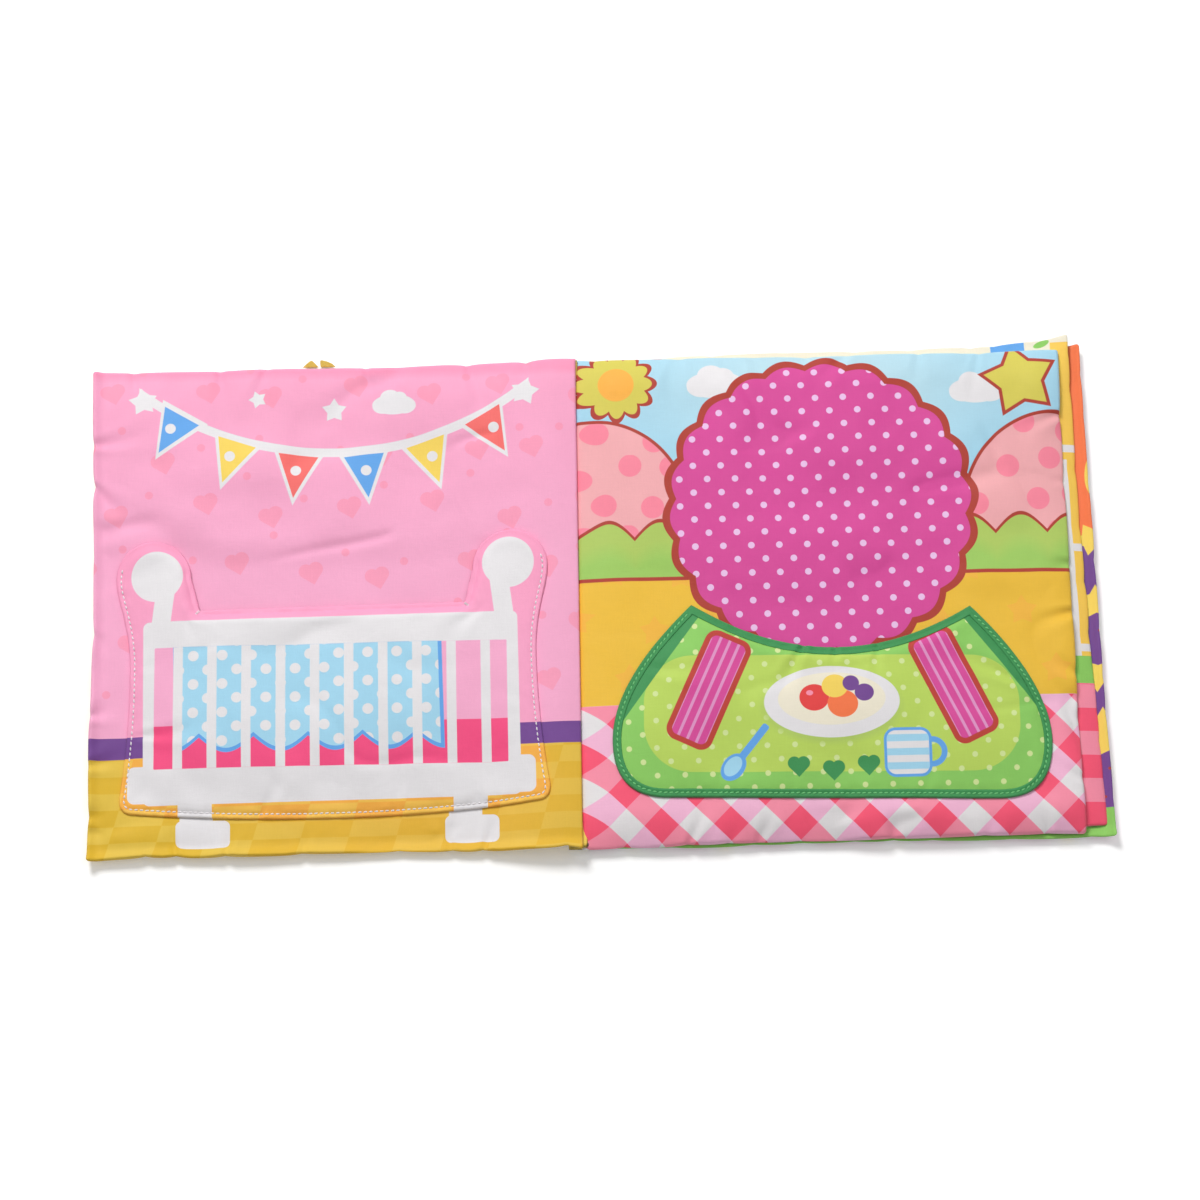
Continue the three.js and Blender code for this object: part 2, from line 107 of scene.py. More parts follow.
# A new node: `sockets` has what goes into its inputs, and `settings` are its own properties
def addNode(tree, kind, sockets=(), **settings):
    node = tree.nodes.new(kind)
    for key, value in settings.items():
        setattr(node, key, value)
    for socket, value in dict(sockets).items():
        feed(tree, node, socket, value)
    return node


def addGroup(tree, group, sockets):
    return addNode(tree, "ShaderNodeGroup", sockets, node_tree=group)


def calc(tree, operation, *values):
    return addNode(tree, "ShaderNodeMath", enumerate(values), operation=operation).outputs[0]


def vectorCalc(tree, operation, *values):
    node = addNode(tree, "ShaderNodeVectorMath", enumerate(values), operation=operation)
    return node.outputs["Value" if operation == "LENGTH" else "Vector"]


# A number in a node tree. Each step of a formula made with it adds a Math node
class Number:
    def __init__(self, tree, socket):
        self.tree, self.socket = tree, socket

    def step(self, operation, *values):
        return Number(self.tree, calc(self.tree, operation, self, *values))

    def __add__(self, other):
        return self.step("ADD", other)

    def __sub__(self, other):
        return self.step("SUBTRACT", other)

    def __mul__(self, other):
        return self.step("MULTIPLY", other)

    def __truediv__(self, other):
        return self.step("DIVIDE", other)

    def __abs__(self):
        return self.step("ABSOLUTE")


def planeOf(tree, point):
    parts = addNode(tree, "ShaderNodeSeparateXYZ", {0: point})
    return Number(tree, parts.outputs[0]), Number(tree, parts.outputs[1])


def pointAt(tree, x, y):
    return addNode(tree, "ShaderNodeCombineXYZ", {0: x, 1: y})


def scaled(tree, vector, share):
    sockets = {"Vector": vector, "Scale": share}
    return addNode(tree, "ShaderNodeVectorMath", sockets, operation="SCALE").outputs[0]


def addBump(tree, shader, height, distance, strength=1):
    sockets = {"Height": height, "Distance": distance, "Strength": strength}
    feed(tree, shader, "Normal", addNode(tree, "ShaderNodeBump", sockets))


# One colour over another
def mixed(tree, share, under, over):
    return addNode(tree, "ShaderNodeMix", {0: share, 6: under, 7: over}, data_type="RGBA").outputs[2]


# A node group. An input's kind follows from its first value: a number, a vector, or the kind's own name
def newGroup(name, kind, inputs, outputs):
    group = bpy.data.node_groups.new(name, kind)
    for label, value in inputs.items():
        word = "Int" if label == "Seed" else "Vector" if isinstance(value, tuple) else "Float"
        named = isinstance(value, str)
        socketType = f"NodeSocket{value if named else word}"
        socket = group.interface.new_socket(name=label, in_out="INPUT", socket_type=socketType)
        if not named:
            socket.default_value = value
    for label, word in outputs.items():
        group.interface.new_socket(name=label, in_out="OUTPUT", socket_type=f"NodeSocket{word}")
    return group, group.nodes.new("NodeGroupInput").outputs, group.nodes.new("NodeGroupOutput")


# Studio: a white table, an even sky and two soft lamps from the upper left

studio = {
    "sky": 0.36,
    "floorWhite": 0.97,
    "floorGlow": (0.16, 0.3),   # near the book and far from it, so that the table ends up white
    "glowReach": (0.26, 0.5),   # metres from the middle
    "glowShape": (1, 1.8, 0),   # closer in behind and before the book than beside it
    "floorRough": 0.42, "floorGloss": 0.25,
    "floorSize": 6000,
    "floorDrop": 1,
    "lamps": [
        {"from": (-500, 1120, 1500), "size": 560, "share": 0.56},
        {"from": (760, 260, 1500), "size": 900, "share": 0.12},
    ],
}


def addLamp(values, name):
    place = Vector(values["from"]) * mm
    share = values["share"] * math.pi ** 2 * place.length_squared
    data = bpy.data.lights.new(name, "AREA")
    data.size = values["size"] * mm
    data.energy = share / (place.z / place.length)
    lamp = bpy.data.objects.new(name, data)
    bpy.context.collection.objects.link(lamp)
    lamp.matrix_world = Matrix.Translation(place) @ place.to_track_quat("Z", "Y").to_matrix().to_4x4()


# 1 for what the camera sees, straight or in a reflection
def seenShare(tree):
    ray = addNode(tree, "ShaderNodeLightPath").outputs
    seen = Number(tree, ray["Is Camera Ray"]).step("MAXIMUM", ray["Is Glossy Ray"])
    return seen.step("MAXIMUM", ray["Is Transmission Ray"])


def addSky(strength):
    world = bpy.data.worlds.new("sky")
    world.use_nodes = True
    bpy.context.scene.world = world
    tree = world.node_tree
    tree.nodes.clear()
    lit = addNode(tree, "ShaderNodeMapRange", {"Value": seenShare(tree), "To Min": strength, "To Max": 1})
    glow = addNode(tree, "ShaderNodeBackground", {"Strength": lit})
    addNode(tree, "ShaderNodeOutputWorld", {"Surface": glow})


def addFloor(values):
    half = values["floorSize"] / 2 * mm
    low = -values["floorDrop"] * mm
    mesh = bpy.data.meshes.new("table_top")
    corners = [(-half, -half, low), (half, -half, low), (half, half, low), (-half, half, low)]
    mesh.from_pydata(corners, [], [(0, 1, 2, 3)])
    floor = bpy.data.objects.new("table_top", mesh)
    bpy.context.collection.objects.link(floor)
    material = bpy.data.materials.new("white_table")
    material.use_nodes = True
    tree = material.node_tree
    finish = tree.nodes["Principled BSDF"]
    feed(tree, finish, "Base Color", (*[values["floorWhite"]] * 3, 1))
    feed(tree, finish, "Roughness", values["floorRough"])
    feed(tree, finish, "Specular IOR Level", values["floorGloss"])
    place = addNode(tree, "ShaderNodeTexCoord").outputs["Object"]
    away = vectorCalc(tree, "LENGTH", vectorCalc(tree, "MULTIPLY", place, values["glowShape"]))
    near, far = values["glowReach"]
    least, most = values["floorGlow"]
    sockets = {"Value": away, "From Min": near, "From Max": far, "To Min": least, "To Max": most}
    rise = addNode(tree, "ShaderNodeMapRange", sockets)
    glow = addNode(tree, "ShaderNodeEmission", {"Strength": calc(tree, "MULTIPLY", rise, seenShare(tree))})
    both = addNode(tree, "ShaderNodeAddShader", {0: finish, 1: glow})
    feed(tree, tree.nodes["Material Output"], "Surface", both)
    mesh.materials.append(material)


for k, lampValues in enumerate(studio["lamps"]):
    addLamp(lampValues, f"soft_lamp_{k + 1}")
addSky(studio["sky"])
addFloor(studio)
bpy.context.scene.view_settings.view_transform = "Standard"
print("camera, lamps and table ready")

# Leaves. These sizes are the CAD model's, so that the cloth lies where its solids are.

sewn = {
    "height": 235, "loft": 2.75, "hem": 1.2, "gutter": 2, "puff": 18, "clearance": 0.35,
    "curl": 3, "curlLength": 45, "saddle": 6.15, "saddleLength": 10, "fall": 42,
    "cornerRadius": 1.7, "rimRadius": 1.3,
}
leaves = {
    "frontCover": {"side": -1, "gap": 0.5, "width": 229, "lean": 0, "rise": 0, "taper": 0.6,
                   "drawIn": 0.8},
    "secondLeaf": {"side": 1, "gap": 1.5, "width": 225, "lean": 0, "rise": 0.4, "taper": 3.4,
                   "drawIn": 0.6},
    "thirdLeaf": {"side": 1, "gap": 1.5, "width": 232.6, "lean": 2.6, "rise": 1.4, "taper": 0,
                  "drawIn": 0.6},
    "backCover": {"side": 1, "gap": -0.3, "width": 239, "lean": 1.4, "rise": 1.6, "taper": -2,
                  "drawIn": 0.4},
}
halfHeight = sewn["height"] / 2


def clampShare(value):
    return np.clip(value, 0, 1)


def easeOut(value):
    return 1 - (1 - clampShare(value)) ** 2


def smooth(value):
    value = clampShare(value)
    return value * value * (3 - 2 * value)


def bow(share):
    return 1 - (2 * share - 1) ** 2


def outerEdge(leaf, y):
    return leaf["width"] - leaf["lean"] * y / halfHeight - leaf["drawIn"] * bow(y / sewn["height"] + 0.5)


def topEdge(leaf, along):
    share = along / leaf["width"]
    return halfHeight + (leaf["rise"] - leaf["taper"] / 2) * share - leaf["drawIn"] * bow(share)


def bottomEdge(leaf, along):
    share = along / leaf["width"]
    return -halfHeight + (leaf["rise"] + leaf["taper"] / 2) * share + leaf["drawIn"] * bow(share)


def leafThickness(leaf, x, y):
    along = leaf["side"] * x - leaf["gap"]
    puff = sewn["puff"]
    inside = easeOut((outerEdge(leaf, y) - along) / puff)
    inside = inside * easeOut((topEdge(leaf, along) - y) / puff)
    inside = inside * easeOut((y - bottomEdge(leaf, along)) / puff)
    loft = sewn["gutter"] + (sewn["loft"] - sewn["gutter"]) * easeOut(along / puff)
    return sewn["hem"] + (loft - sewn["hem"]) * inside


def cornerCurl(x, y):
    third = leaves["thirdLeaf"]
    length = sewn["curlLength"]
    outward = clampShare((x - third["gap"] - third["width"] + length) / length)
    upward = clampShare((y - halfHeight + length) / length)
    return sewn["curl"] * outward ** 2 * upward ** 2


def leafBottom(name, x, y):
    if name == "backCover":
        return np.zeros_like(x)
    if name == "frontCover":
        return sewn["saddle"] * smooth(1 - (-x - sewn["saddleLength"]) / sewn["fall"])
    if name == "thirdLeaf":
        return leafTop("backCover", x, y) + sewn["clearance"] + cornerCurl(x, y)
    return leafTop("thirdLeaf", x, y) + sewn["clearance"]


def leafTop(name, x, y):
    return leafBottom(name, x, y) + leafThickness(leaves[name], x, y)


# Smooth bumps about `size` mm across, from -1 to 1
def softNoise(x, y, size, seed):
    table = np.random.default_rng(seed).uniform(-1, 1, (128, 128))
    u = x / size + 57.3
    v = y / size + 49.1
    i = np.floor(u).astype(int)
    j = np.floor(v).astype(int)
    a = u - i
    b = v - j
    a = a ** 3 * (a * (a * 6 - 15) + 10)
    b = b ** 3 * (b * (b * 6 - 15) + 10)
    i, j = i % 127, j % 127
    low = table[i, j] * (1 - a) + table[i + 1, j] * a
    high = table[i, j + 1] * (1 - a) + table[i + 1, j + 1] * a
    return low * (1 - b) + high * b


# A crease runs in from a hem: deepest at the seam, wider and shallower as it goes, with a low
# ridge on each side
def creaseHeight(x, y, crease):
    startX, startY, angle, length, width, depth = crease
    cos, sin = math.cos(angle), math.sin(angle)
    run = (x - startX) * cos + (y - startY) * sin
    off = -(x - startX) * sin + (y - startY) * cos
    off = off + 0.12 * length * np.sin(run / length * 2.4)
    share = run / length
    fade = np.where(share < 0, np.exp(-(share * 6) ** 2), clampShare(1 - share) ** 1.5)
    spread = width * (0.55 + 1.5 * clampShare(share))
    ridge = np.exp(-((np.abs(off) - 2 * spread) / spread) ** 2) * 0.45
    return depth * fade * (ridge - np.exp(-(off / spread) ** 2))


# Creases along the three sewn sides of a leaf, and the notches that they pull in its outline
def hemCreases(leaf, values):
    rng = np.random.default_rng(values["seed"])
    creases = []
    notches = {"top": [], "bottom": [], "outer": []}
    for edge in notches:
        length = sewn["height"] if edge == "outer" else leaf["width"]
        place = rng.uniform(6, values["creaseEvery"])
        while place < length - 6:
            depth = values["creaseDepth"] * rng.uniform(0.35, 1)
            slant = rng.uniform(-0.6, 0.6)
            reach = values["creaseReach"] * rng.uniform(0.35, 1)
            width = values["creaseWidth"] * rng.uniform(0.7, 1.3)
            if edge == "outer":
                x = leaf["side"] * (leaf["gap"] + leaf["width"])
                y = place - halfHeight
                angle = (math.pi if leaf["side"] > 0 else 0) + slant
            else:
                x = leaf["side"] * (leaf["gap"] + place)
                y = halfHeight if edge == "top" else -halfHeight
                angle = (-math.pi / 2 if edge == "top" else math.pi / 2) + slant
            creases.append((x, y, angle, reach, width, depth))
            notches[edge].append((place, values["notch"] * rng.uniform(0.2, 1)))
            place += values["creaseEvery"] * rng.uniform(0.45, 1.6)
    return creases, notches


def outlineWave(place, notches, values, seed):
    wave = softNoise(place, place * 0 + seed, 31, seed) * values["outlineWave"]
    for at, depth in notches:
        wave = wave - depth * np.exp(-np.abs(place - at) / 4.2)
    return wave


# Broken folds that wander across padded cloth, from 0 to 1
brokenFold = {"size": 37, "patch": 49, "width": 0.17}


def softFolds(x, y, seed):
    lines = softNoise(x + 0.45 * y, y - 0.2 * x, brokenFold["size"], seed)
    where = smooth(softNoise(x, y, brokenFold["patch"], seed + 20) * 1.6 + 0.35)
    return np.exp(-(lines / brokenFold["width"]) ** 2) * where


# Bulges of padded cloth: size in mm, slant, and share of the leaf's swell
bulges = ((58, 0, 1), (24, 0.35, 0.75), (9, 0, 0.12))


# Bumps of the printed face above the CAD model's surface
def faceBumps(x, y, values):
    bumps = 0
    for k, (size, slant, share) in enumerate(bulges, 1):
        bumps = bumps + softNoise(x + slant * y, y, size, values["seed"] + k) * values["swell"] * share
    bumps = bumps - softFolds(x, y, values["seed"] + 6) * values["fold"]
    for crease in values["creases"]:
        bumps = bumps + creaseHeight(x, y, crease)
    lowest = -values["sink"]
    bumps = bumps + values["lift"]
    return np.where(bumps < 0, lowest * np.tanh(bumps / lowest), bumps)


# The third leaf and the back cover lie flat under the others
flatCloth = {
    "step": 2.2, "swell": 0.1, "fold": 0, "lift": 0, "sink": 0.1, "creaseDepth": 0.1, "creaseReach": 26,
    "creaseWidth": 2.4, "outlineWave": 0.5,
}
# "hemLift" is how far the outer and the bottom hem stand off the table, and how far in that goes
leafCloth = {
    "frontCover": {
        "stem": "front_cover", "step": 1.25, "seed": 21, "swell": 1.35, "fold": 1.2, "lift": 1.2,
        "sink": 0.3, "backSwell": 0.1, "creaseEvery": 30, "creaseDepth": 1.5, "creaseReach": 46,
        "creaseWidth": 2.7, "notch": 1.5, "outlineWave": 0.6, "seamTop": -1.7, "seamBottom": -3.2,
        "hemLift": (2.6, 2.6, 7.5),
    },
    "secondLeaf": {
        "stem": "second_leaf", "step": 1.25, "seed": 34, "swell": 1.5, "fold": 1.5, "lift": 1.3,
        "sink": 0.3, "backSwell": 0.08, "creaseEvery": 27, "creaseDepth": 1.3, "creaseReach": 42,
        "creaseWidth": 2.6, "notch": 1.1, "outlineWave": 0.5, "seamTop": -2.1, "seamBottom": -3.6,
    },
    "thirdLeaf": {
        **flatCloth, "stem": "third_leaf", "seed": 47, "backSwell": 0.08, "creaseEvery": 24, "notch": 0.9,
        "seamTop": 0.2, "seamBottom": 0.2,
    },
    "backCover": {
        **flatCloth, "stem": "back_cover", "seed": 65, "backSwell": 0, "creaseEvery": 26, "notch": 0.8,
        "hemLift": (3.2, 2, 7.5),
    },
}
for leafName, clothValues in leafCloth.items():
    clothValues["creases"], clothValues["notches"] = hemCreases(leaves[leafName], clothValues)


# From `least` to 1, as `share` goes from 0 to 1
def atLeast(least, share):
    return least + (1 - least) * share


# Height of a page's printed face, for what lies on it
def pageTop(name, x, y):
    bumps = faceBumps(x, y, leafCloth[name])
    return leafTop(name, x, y) + bumps * calmShare(name, x, y) * gutterCalm(name, x)


# A page lies flatter under its pocket (centre and half sizes), and near the gutter, so that the book
# can close: the least share of its bulges there, and how far it is from there to the full ones
calmPlaces = {"frontCover": (-117, -38, 104, 64), "secondLeaf": (112, -50, 104, 50)}
pocketCalm = {"least": 0.3, "reach": 16}
gutterRest = {"least": 0.06, "reach": 46}


def gutterCalm(name, x):
    along = leaves[name]["side"] * x - leaves[name]["gap"]
    return atLeast(gutterRest["least"], smooth(along / gutterRest["reach"]))


def calmShare(name, x, y):
    if name not in calmPlaces:
        return 1
    centreX, centreY, halfX, halfY = calmPlaces[name]
    away = np.maximum(np.abs(x - centreX) - halfX, np.abs(y - centreY) - halfY)
    return atLeast(pocketCalm["least"], smooth(away / pocketCalm["reach"] + 0.5))


def rimLines(radius):
    return [0, 0.1, 0.35, 0.75, radius, radius + 0.9]


def gridLines(length, step, rim):
    cells = round((length - 2 * rim[-1]) / step)
    middle = np.linspace(rim[-1], length - rim[-1], cells + 1)[1:-1]
    return np.concatenate([rim, middle, length - np.array(rim)[::-1]])


def rimShare(distance, radius):
    return np.sqrt(np.clip(1 - (1 - clampShare(distance / radius)) ** 2, 0, 1))


def smoothMesh(name, points, faces, flat):
    mesh = bpy.data.meshes.new(name)
    mesh.from_pydata((points * mm).tolist(), [], faces.tolist())
    mesh.polygons.foreach_set("use_smooth", np.ones(len(faces), bool))
    # the page's own map: flat places in mm
    mesh.uv_layers.new(name="page").data.foreach_set("uv", flat[faces.ravel()].ravel())
    return mesh


# Two grids of points that meet along their rim, with the flat place of each point
def pairMesh(name, upper, lower, flat):
    columns, rows = upper.shape[:2]
    inner = np.zeros((columns, rows), bool)
    inner[1:-1, 1:-1] = True
    upperIndex = np.arange(columns * rows).reshape(columns, rows)
    lowerIndex = upperIndex.copy()
    lowerIndex[inner] = columns * rows + np.arange(inner.sum())

    def quads(index):
        return np.stack([index[:-1, :-1], index[1:, :-1], index[1:, 1:], index[:-1, 1:]], -1).reshape(-1, 4)

    points = np.concatenate([upper.reshape(-1, 3), lower[inner]])
    faces = np.concatenate([quads(upperIndex), quads(lowerIndex)[:, ::-1]])
    return smoothMesh(name, points, faces, np.concatenate([flat.reshape(-1, 2), flat[inner]]))


def addObject(mesh):
    made = bpy.data.objects.new(mesh.name, mesh)
    bpy.context.collection.objects.link(made)
    return made


# The third leaf was cut askew: it stands above the page on it, most at the corner, and stops short
# at the bottom
skew = {"top": 1.7, "ear": 4.2, "earLength": 14, "bottom": 2.6, "foot": 2}
# How far a hem's wave reaches into the cloth, and where the cloth starts to turn into the seam
hemReach, seamReach = 7, 9


def makeLeaf(name):
    leaf, values = leaves[name], leafCloth[name]
    rim = rimLines(sewn["rimRadius"])
    along, up = np.meshgrid(
        gridLines(leaf["width"], values["step"], rim),
        gridLines(sewn["height"], values["step"], rim),
        indexing="ij",
    )
    outward = leaf["width"] - along
    fromEnd = np.minimum(up, sewn["height"] - up)
    distance = np.minimum(np.minimum(outward, along), fromEnd)

    # the two outer corners are rounded
    radius = sewn["cornerRadius"]
    a = np.clip(radius - outward, 0, None)
    b = np.clip(radius - fromEnd, 0, None)
    pull = np.where((a > 0) & (b > 0), np.maximum(a, b) / np.maximum(np.hypot(a, b), 1e-9), 1)
    along = np.where(pull < 1, leaf["width"] - radius + a * pull, along)
    roundedEnd = radius - b * pull
    fromEnd = np.where(pull < 1, roundedEnd, fromEnd)
    up = np.where(pull < 1, np.where(up < halfHeight, fromEnd, sewn["height"] - fromEnd), up)

    reach = along * outerEdge(leaf, up - halfHeight) / leaf["width"]
    upShare = up / sewn["height"]
    y = bottomEdge(leaf, reach) * (1 - upShare) + topEdge(leaf, reach) * upShare
    x = leaf["side"] * (leaf["gap"] + reach)
    if name == "thirdLeaf":
        y = y + skew["top"] * smooth(reach / 120) * upShare ** 2
        y = y + skew["ear"] * np.exp(-outward / skew["earLength"]) * upShare ** 4
        y = y + (skew["bottom"] + skew["foot"] * smooth(1 - outward / 40)) * (1 - upShare) ** 3
    flatX, flatY = x.copy(), y.copy()

    # hems wave in and out, most at the seam
    def hemWave(edge, place, away, more):
        wave = outlineWave(place, values["notches"][edge], values, values["seed"] + more)
        return wave * np.exp(-away / hemReach)

    y = y + hemWave("top", reach, sewn["height"] - up, 0) - hemWave("bottom", reach, up, 5)
    x = x + leaf["side"] * hemWave("outer", up, outward, 9)

    # at the gutter the cloth runs on into the seam
    toSeam = clampShare(1 - along / seamReach) ** 2
    if name != "backCover":
        seamX = values["seamBottom"] + (values["seamTop"] - values["seamBottom"]) * upShare
        x = x + (seamX - leaf["side"] * leaf["gap"]) * toSeam

    low = leafBottom(name, flatX, flatY)
    high = leafTop(name, flatX, flatY)
    if "hemLift" in values:
        outer, foot, length = values["hemLift"]
        lift = outer * smooth(1 - outward / length) ** 2 + foot * smooth(1 - up / length) ** 2
        low, high = low + lift, high + lift
    bumps = faceBumps(flatX, flatY, values) * calmShare(name, flatX, flatY)
    calm = gutterCalm(name, flatX)
    middle = (low + high) / 2 - toSeam * 0.8 * (name != "backCover")
    shape = rimShare(distance, sewn["rimRadius"])
    top = middle + (high + bumps * calm - middle) * shape
    backBumps = softNoise(flatX, flatY, 40, values["seed"] + 4) * values["backSwell"]
    bottom = middle + (np.maximum(low + backBumps * (name != "frontCover"), 0) - middle) * shape
    if name == "frontCover":
        settled = smooth((-flatX - 52) / 20)
        lifted = np.clip(softNoise(flatX, flatY, 34, 77), 0, 1) * 0.25 * settled
        bottom = middle + (low + lifted - middle) * shape

    if leaf["side"] < 0:     # so that its faces point out
        x, y, top, bottom, flatX, flatY = (v[::-1] for v in (x, y, top, bottom, flatX, flatY))
    upper, lower = np.stack([x, y, top], -1), np.stack([x, y, bottom], -1)
    mesh = pairMesh(values["stem"] + "_cloth", upper, lower, np.stack([flatX, flatY], -1))
    sides = np.repeat([0, 1], len(mesh.polygons) // 2)      # one print inside, one outside
    mesh.polygons.foreach_set("material_index", sides)
    return addObject(mesh)


leafObjects = {}
for leafName in leaves:
    leafObjects[leafName] = makeLeaf(leafName)
    print(leafName, "cloth made,", len(leafObjects[leafName].data.polygons), "faces")


# Pockets: outlines in mm about each pocket's own centre, as the CAD model has them

crib = {
    "page": "frontCover", "centre": (-117, -0.5), "tilt": 0.6, "mouthHalf": 61.4,
    "lobeX": 82.9, "lobeRise": 16, "lobeRadius": 17.5, "waistHalf": 94, "waistDrop": 26,
    "footHalf": 98.8, "footDrop": 88, "corner": 7, "bottomDrop": 99.6,
    "gape": 4.3, "gapeSide": 34, "gapeBottom": 44, "droop": 3.4,
    "seat": 0.1, "stitchInset": 2.4, "stitchTop": 21, "groove": 0.38, "grooveWidth": 0.55, "plump": 1.25,
    "settle": 0.25, "cell": 1.7, "seed": 82,
    # creases: x, y, angle, length, width and depth
    "creases": [
        (-183, -9, -0.9, 28, 3, 0.4), (-52, -6, -2.2, 26, 3, 0.8), (-206, -60, 0.3, 36, 2.4, 1.4),
        (-20, -52, 2.9, 34, 2.4, 1.4), (-150, -98, 1.3, 30, 2.2, 1.3), (-88, -98, 1.8, 30, 2.2, 1.3),
    ],
}
tray = {
    "page": "secondLeaf", "centre": (112.5, -50), "tilt": -1.5, "tipHalf": 64.4, "tipRise": 43.6,
    "mouthSag": 20.4,
    "shoulderHalf": 100.6, "shoulderDrop": 20, "bottomDrop": 47, "corner": 25, "gape": 4.3,
    "gapeSide": 34, "gapeBottom": 44, "seat": 0.1, "stitchInset": 2.2, "stitchTop": 40, "groove": 0.3,
    "grooveWidth": 0.5, "plump": 1.42, "settle": 0.18, "faceRise": 0.86, "bindingWidth": 4,
    "cell": 1.7, "seed": 93,
    "creases": [
        (101, -25, -1.85, 34, 2.1, 1.5), (115.6, -25, -1.52, 18, 1.5, 1.1), (26, -34, 0.12, 38, 2.7, 1.7),
        (196, -44, 2.9, 40, 2.6, 1.6), (56, -97, 1.4, 24, 2.1, 1.2), (92, -97, 1.7, 22, 1.9, 1),
        (150, -98, 1.3, 26, 2.1, 1.2), (134, -28, -1.4, 22, 1.8, 1),
    ],
}


# Points along the Bezier curve of some corners, without its end
def curvePoints(corners, spacing=1.5, fewest=4):
    corners = np.array(corners, float)
    reach = np.linalg.norm(np.diff(corners, axis=0), axis=1).sum()
    share = np.linspace(0, 1, max(fewest, math.ceil(reach / spacing)), endpoint=False)[:, None]
    row = list(corners[:, None, :])
    while len(row) > 1:
        row = [a * (1 - share) + b * share for a, b in zip(row, row[1:])]
    return row[0]


def linePoints(start, end, spacing=1.5):
    return curvePoints([start, end], spacing, 2)


def arcPoints(centreX, centreY, radius, start, end, spacing=1.5):
    count = math.ceil(abs(end - start) * radius / spacing)
    turn = np.linspace(start, end, count, endpoint=False)
    return np.stack([centreX + radius * np.cos(turn), centreY + radius * np.sin(turn)], -1)


def turnedBy(x, y, degrees):
    cos, sin = math.cos(math.radians(degrees)), math.sin(math.radians(degrees))
    return x * cos - y * sin, x * sin + y * cos


def placed(points, pocket):
    return np.stack(turnedBy(points[:, 0], points[:, 1], pocket["tilt"]), -1) + pocket["centre"]


def unplaced(x, y, pocket):
    return turnedBy(x - pocket["centre"][0], y - pocket["centre"][1], -pocket["tilt"])


# Half of the outline runs clockwise from the mouth's middle to a foot, and the other mirrors it
def cribOutline():
    c = crib
    edge = c["lobeX"] + c["lobeRadius"]
    bend = (c["lobeRise"] + c["waistDrop"]) / 2
    foot = c["footDrop"] + c["corner"]
    middle = (-c["waistDrop"] - c["footDrop"]) / 2
    inner = (c["lobeX"] - c["lobeRadius"], c["lobeRise"])
    half = [
        linePoints((0, 0), (c["mouthHalf"], 0)),
        linePoints((c["mouthHalf"], 0), inner),
        arcPoints(c["lobeX"], c["lobeRise"], c["lobeRadius"], math.pi, 0),
        curvePoints([(edge, c["lobeRise"]), (edge, c["lobeRise"] - bend / 2),
                     (c["waistHalf"], -c["waistDrop"] + bend), (c["waistHalf"], -c["waistDrop"])]),
        curvePoints([(c["waistHalf"], -c["waistDrop"]), (c["waistHalf"], middle),
                     (c["footHalf"], -c["footDrop"])]),
        curvePoints([(c["footHalf"], -c["footDrop"]), (c["footHalf"], -foot),
                     (c["footHalf"] - c["corner"], -foot)]),
    ]
    right = np.concatenate(half)
    sag = 2 * (foot - c["bottomDrop"]) - foot
    base = curvePoints([(c["footHalf"] - c["corner"], -foot), (0, sag), (c["corner"] - c["footHalf"], -foot)])
    left = right[:0:-1] * (-1, 1)
    start = np.array([[c["corner"] - c["footHalf"], -foot]])
    return np.concatenate([right, base, start, left])


def trayOutline():
    t = tray
    side = (t["shoulderHalf"], -t["shoulderDrop"])
    low = (t["shoulderHalf"] - t["corner"], -t["bottomDrop"])
    corner = (t["shoulderHalf"], -t["bottomDrop"])
    tip = (t["tipHalf"], t["tipRise"])
    sag = t["tipRise"] - 2 * t["mouthSag"]
    bend = (t["shoulderHalf"], t["tipRise"] - t["shoulderHalf"] + t["tipHalf"])
    flip = lambda p: (-p[0], p[1])
    return np.concatenate([
        curvePoints([flip(tip), (0, sag), tip]),
        curvePoints([tip, bend, side]),
        curvePoints([side, corner, low]),
        linePoints(low, flip(low)),
        curvePoints([flip(low), flip(corner), flip(side)]),
        curvePoints([flip(side), flip(bend), flip(tip)]),
    ])


def edgeDistance(points, outline):
    start = outline
    along = np.roll(outline, -1, axis=0) - outline
    lengths = np.maximum((along ** 2).sum(-1), 1e-12)
    nearest = np.empty(len(points))
    for k in range(0, len(points), 2000):
        away = points[k:k + 2000, None, :] - start[None, :, :]
        share = clampShare((away * along).sum(-1) / lengths)
        gap = away - share[..., None] * along
        nearest[k:k + 2000] = np.sqrt((gap ** 2).sum(-1).min(-1))
    return nearest


def insidePolygon(points, outline):
    x, y = points[:, 0], points[:, 1]
    inside = np.zeros(len(points), bool)
    for (ax, ay), (bx, by) in zip(outline, np.roll(outline, -1, axis=0)):
        if ay == by:
            continue
        crosses = (ay > y) != (by > y)
        inside ^= crosses & (x < (bx - ax) * (y - ay) / (by - ay) + ax)
    return inside


def insetPoints(outline, inset):
    along = np.roll(outline, -1, axis=0) - np.roll(outline, 1, axis=0)
    along /= np.maximum(np.linalg.norm(along, axis=1), 1e-9)[:, None]
    inward = np.stack([along[:, 1], -along[:, 0]], -1)
    if signedArea(outline) > 0:
        inward = -inward
    points = outline + inward * inset
    keep = (edgeDistance(points, outline) > inset * 0.9) & insidePolygon(points, outline)
    return points[keep]


def signedArea(outline):
    x, y = outline[:, 0], outline[:, 1]
    return 0.5 * (x * np.roll(y, -1) - np.roll(x, -1) * y).sum()


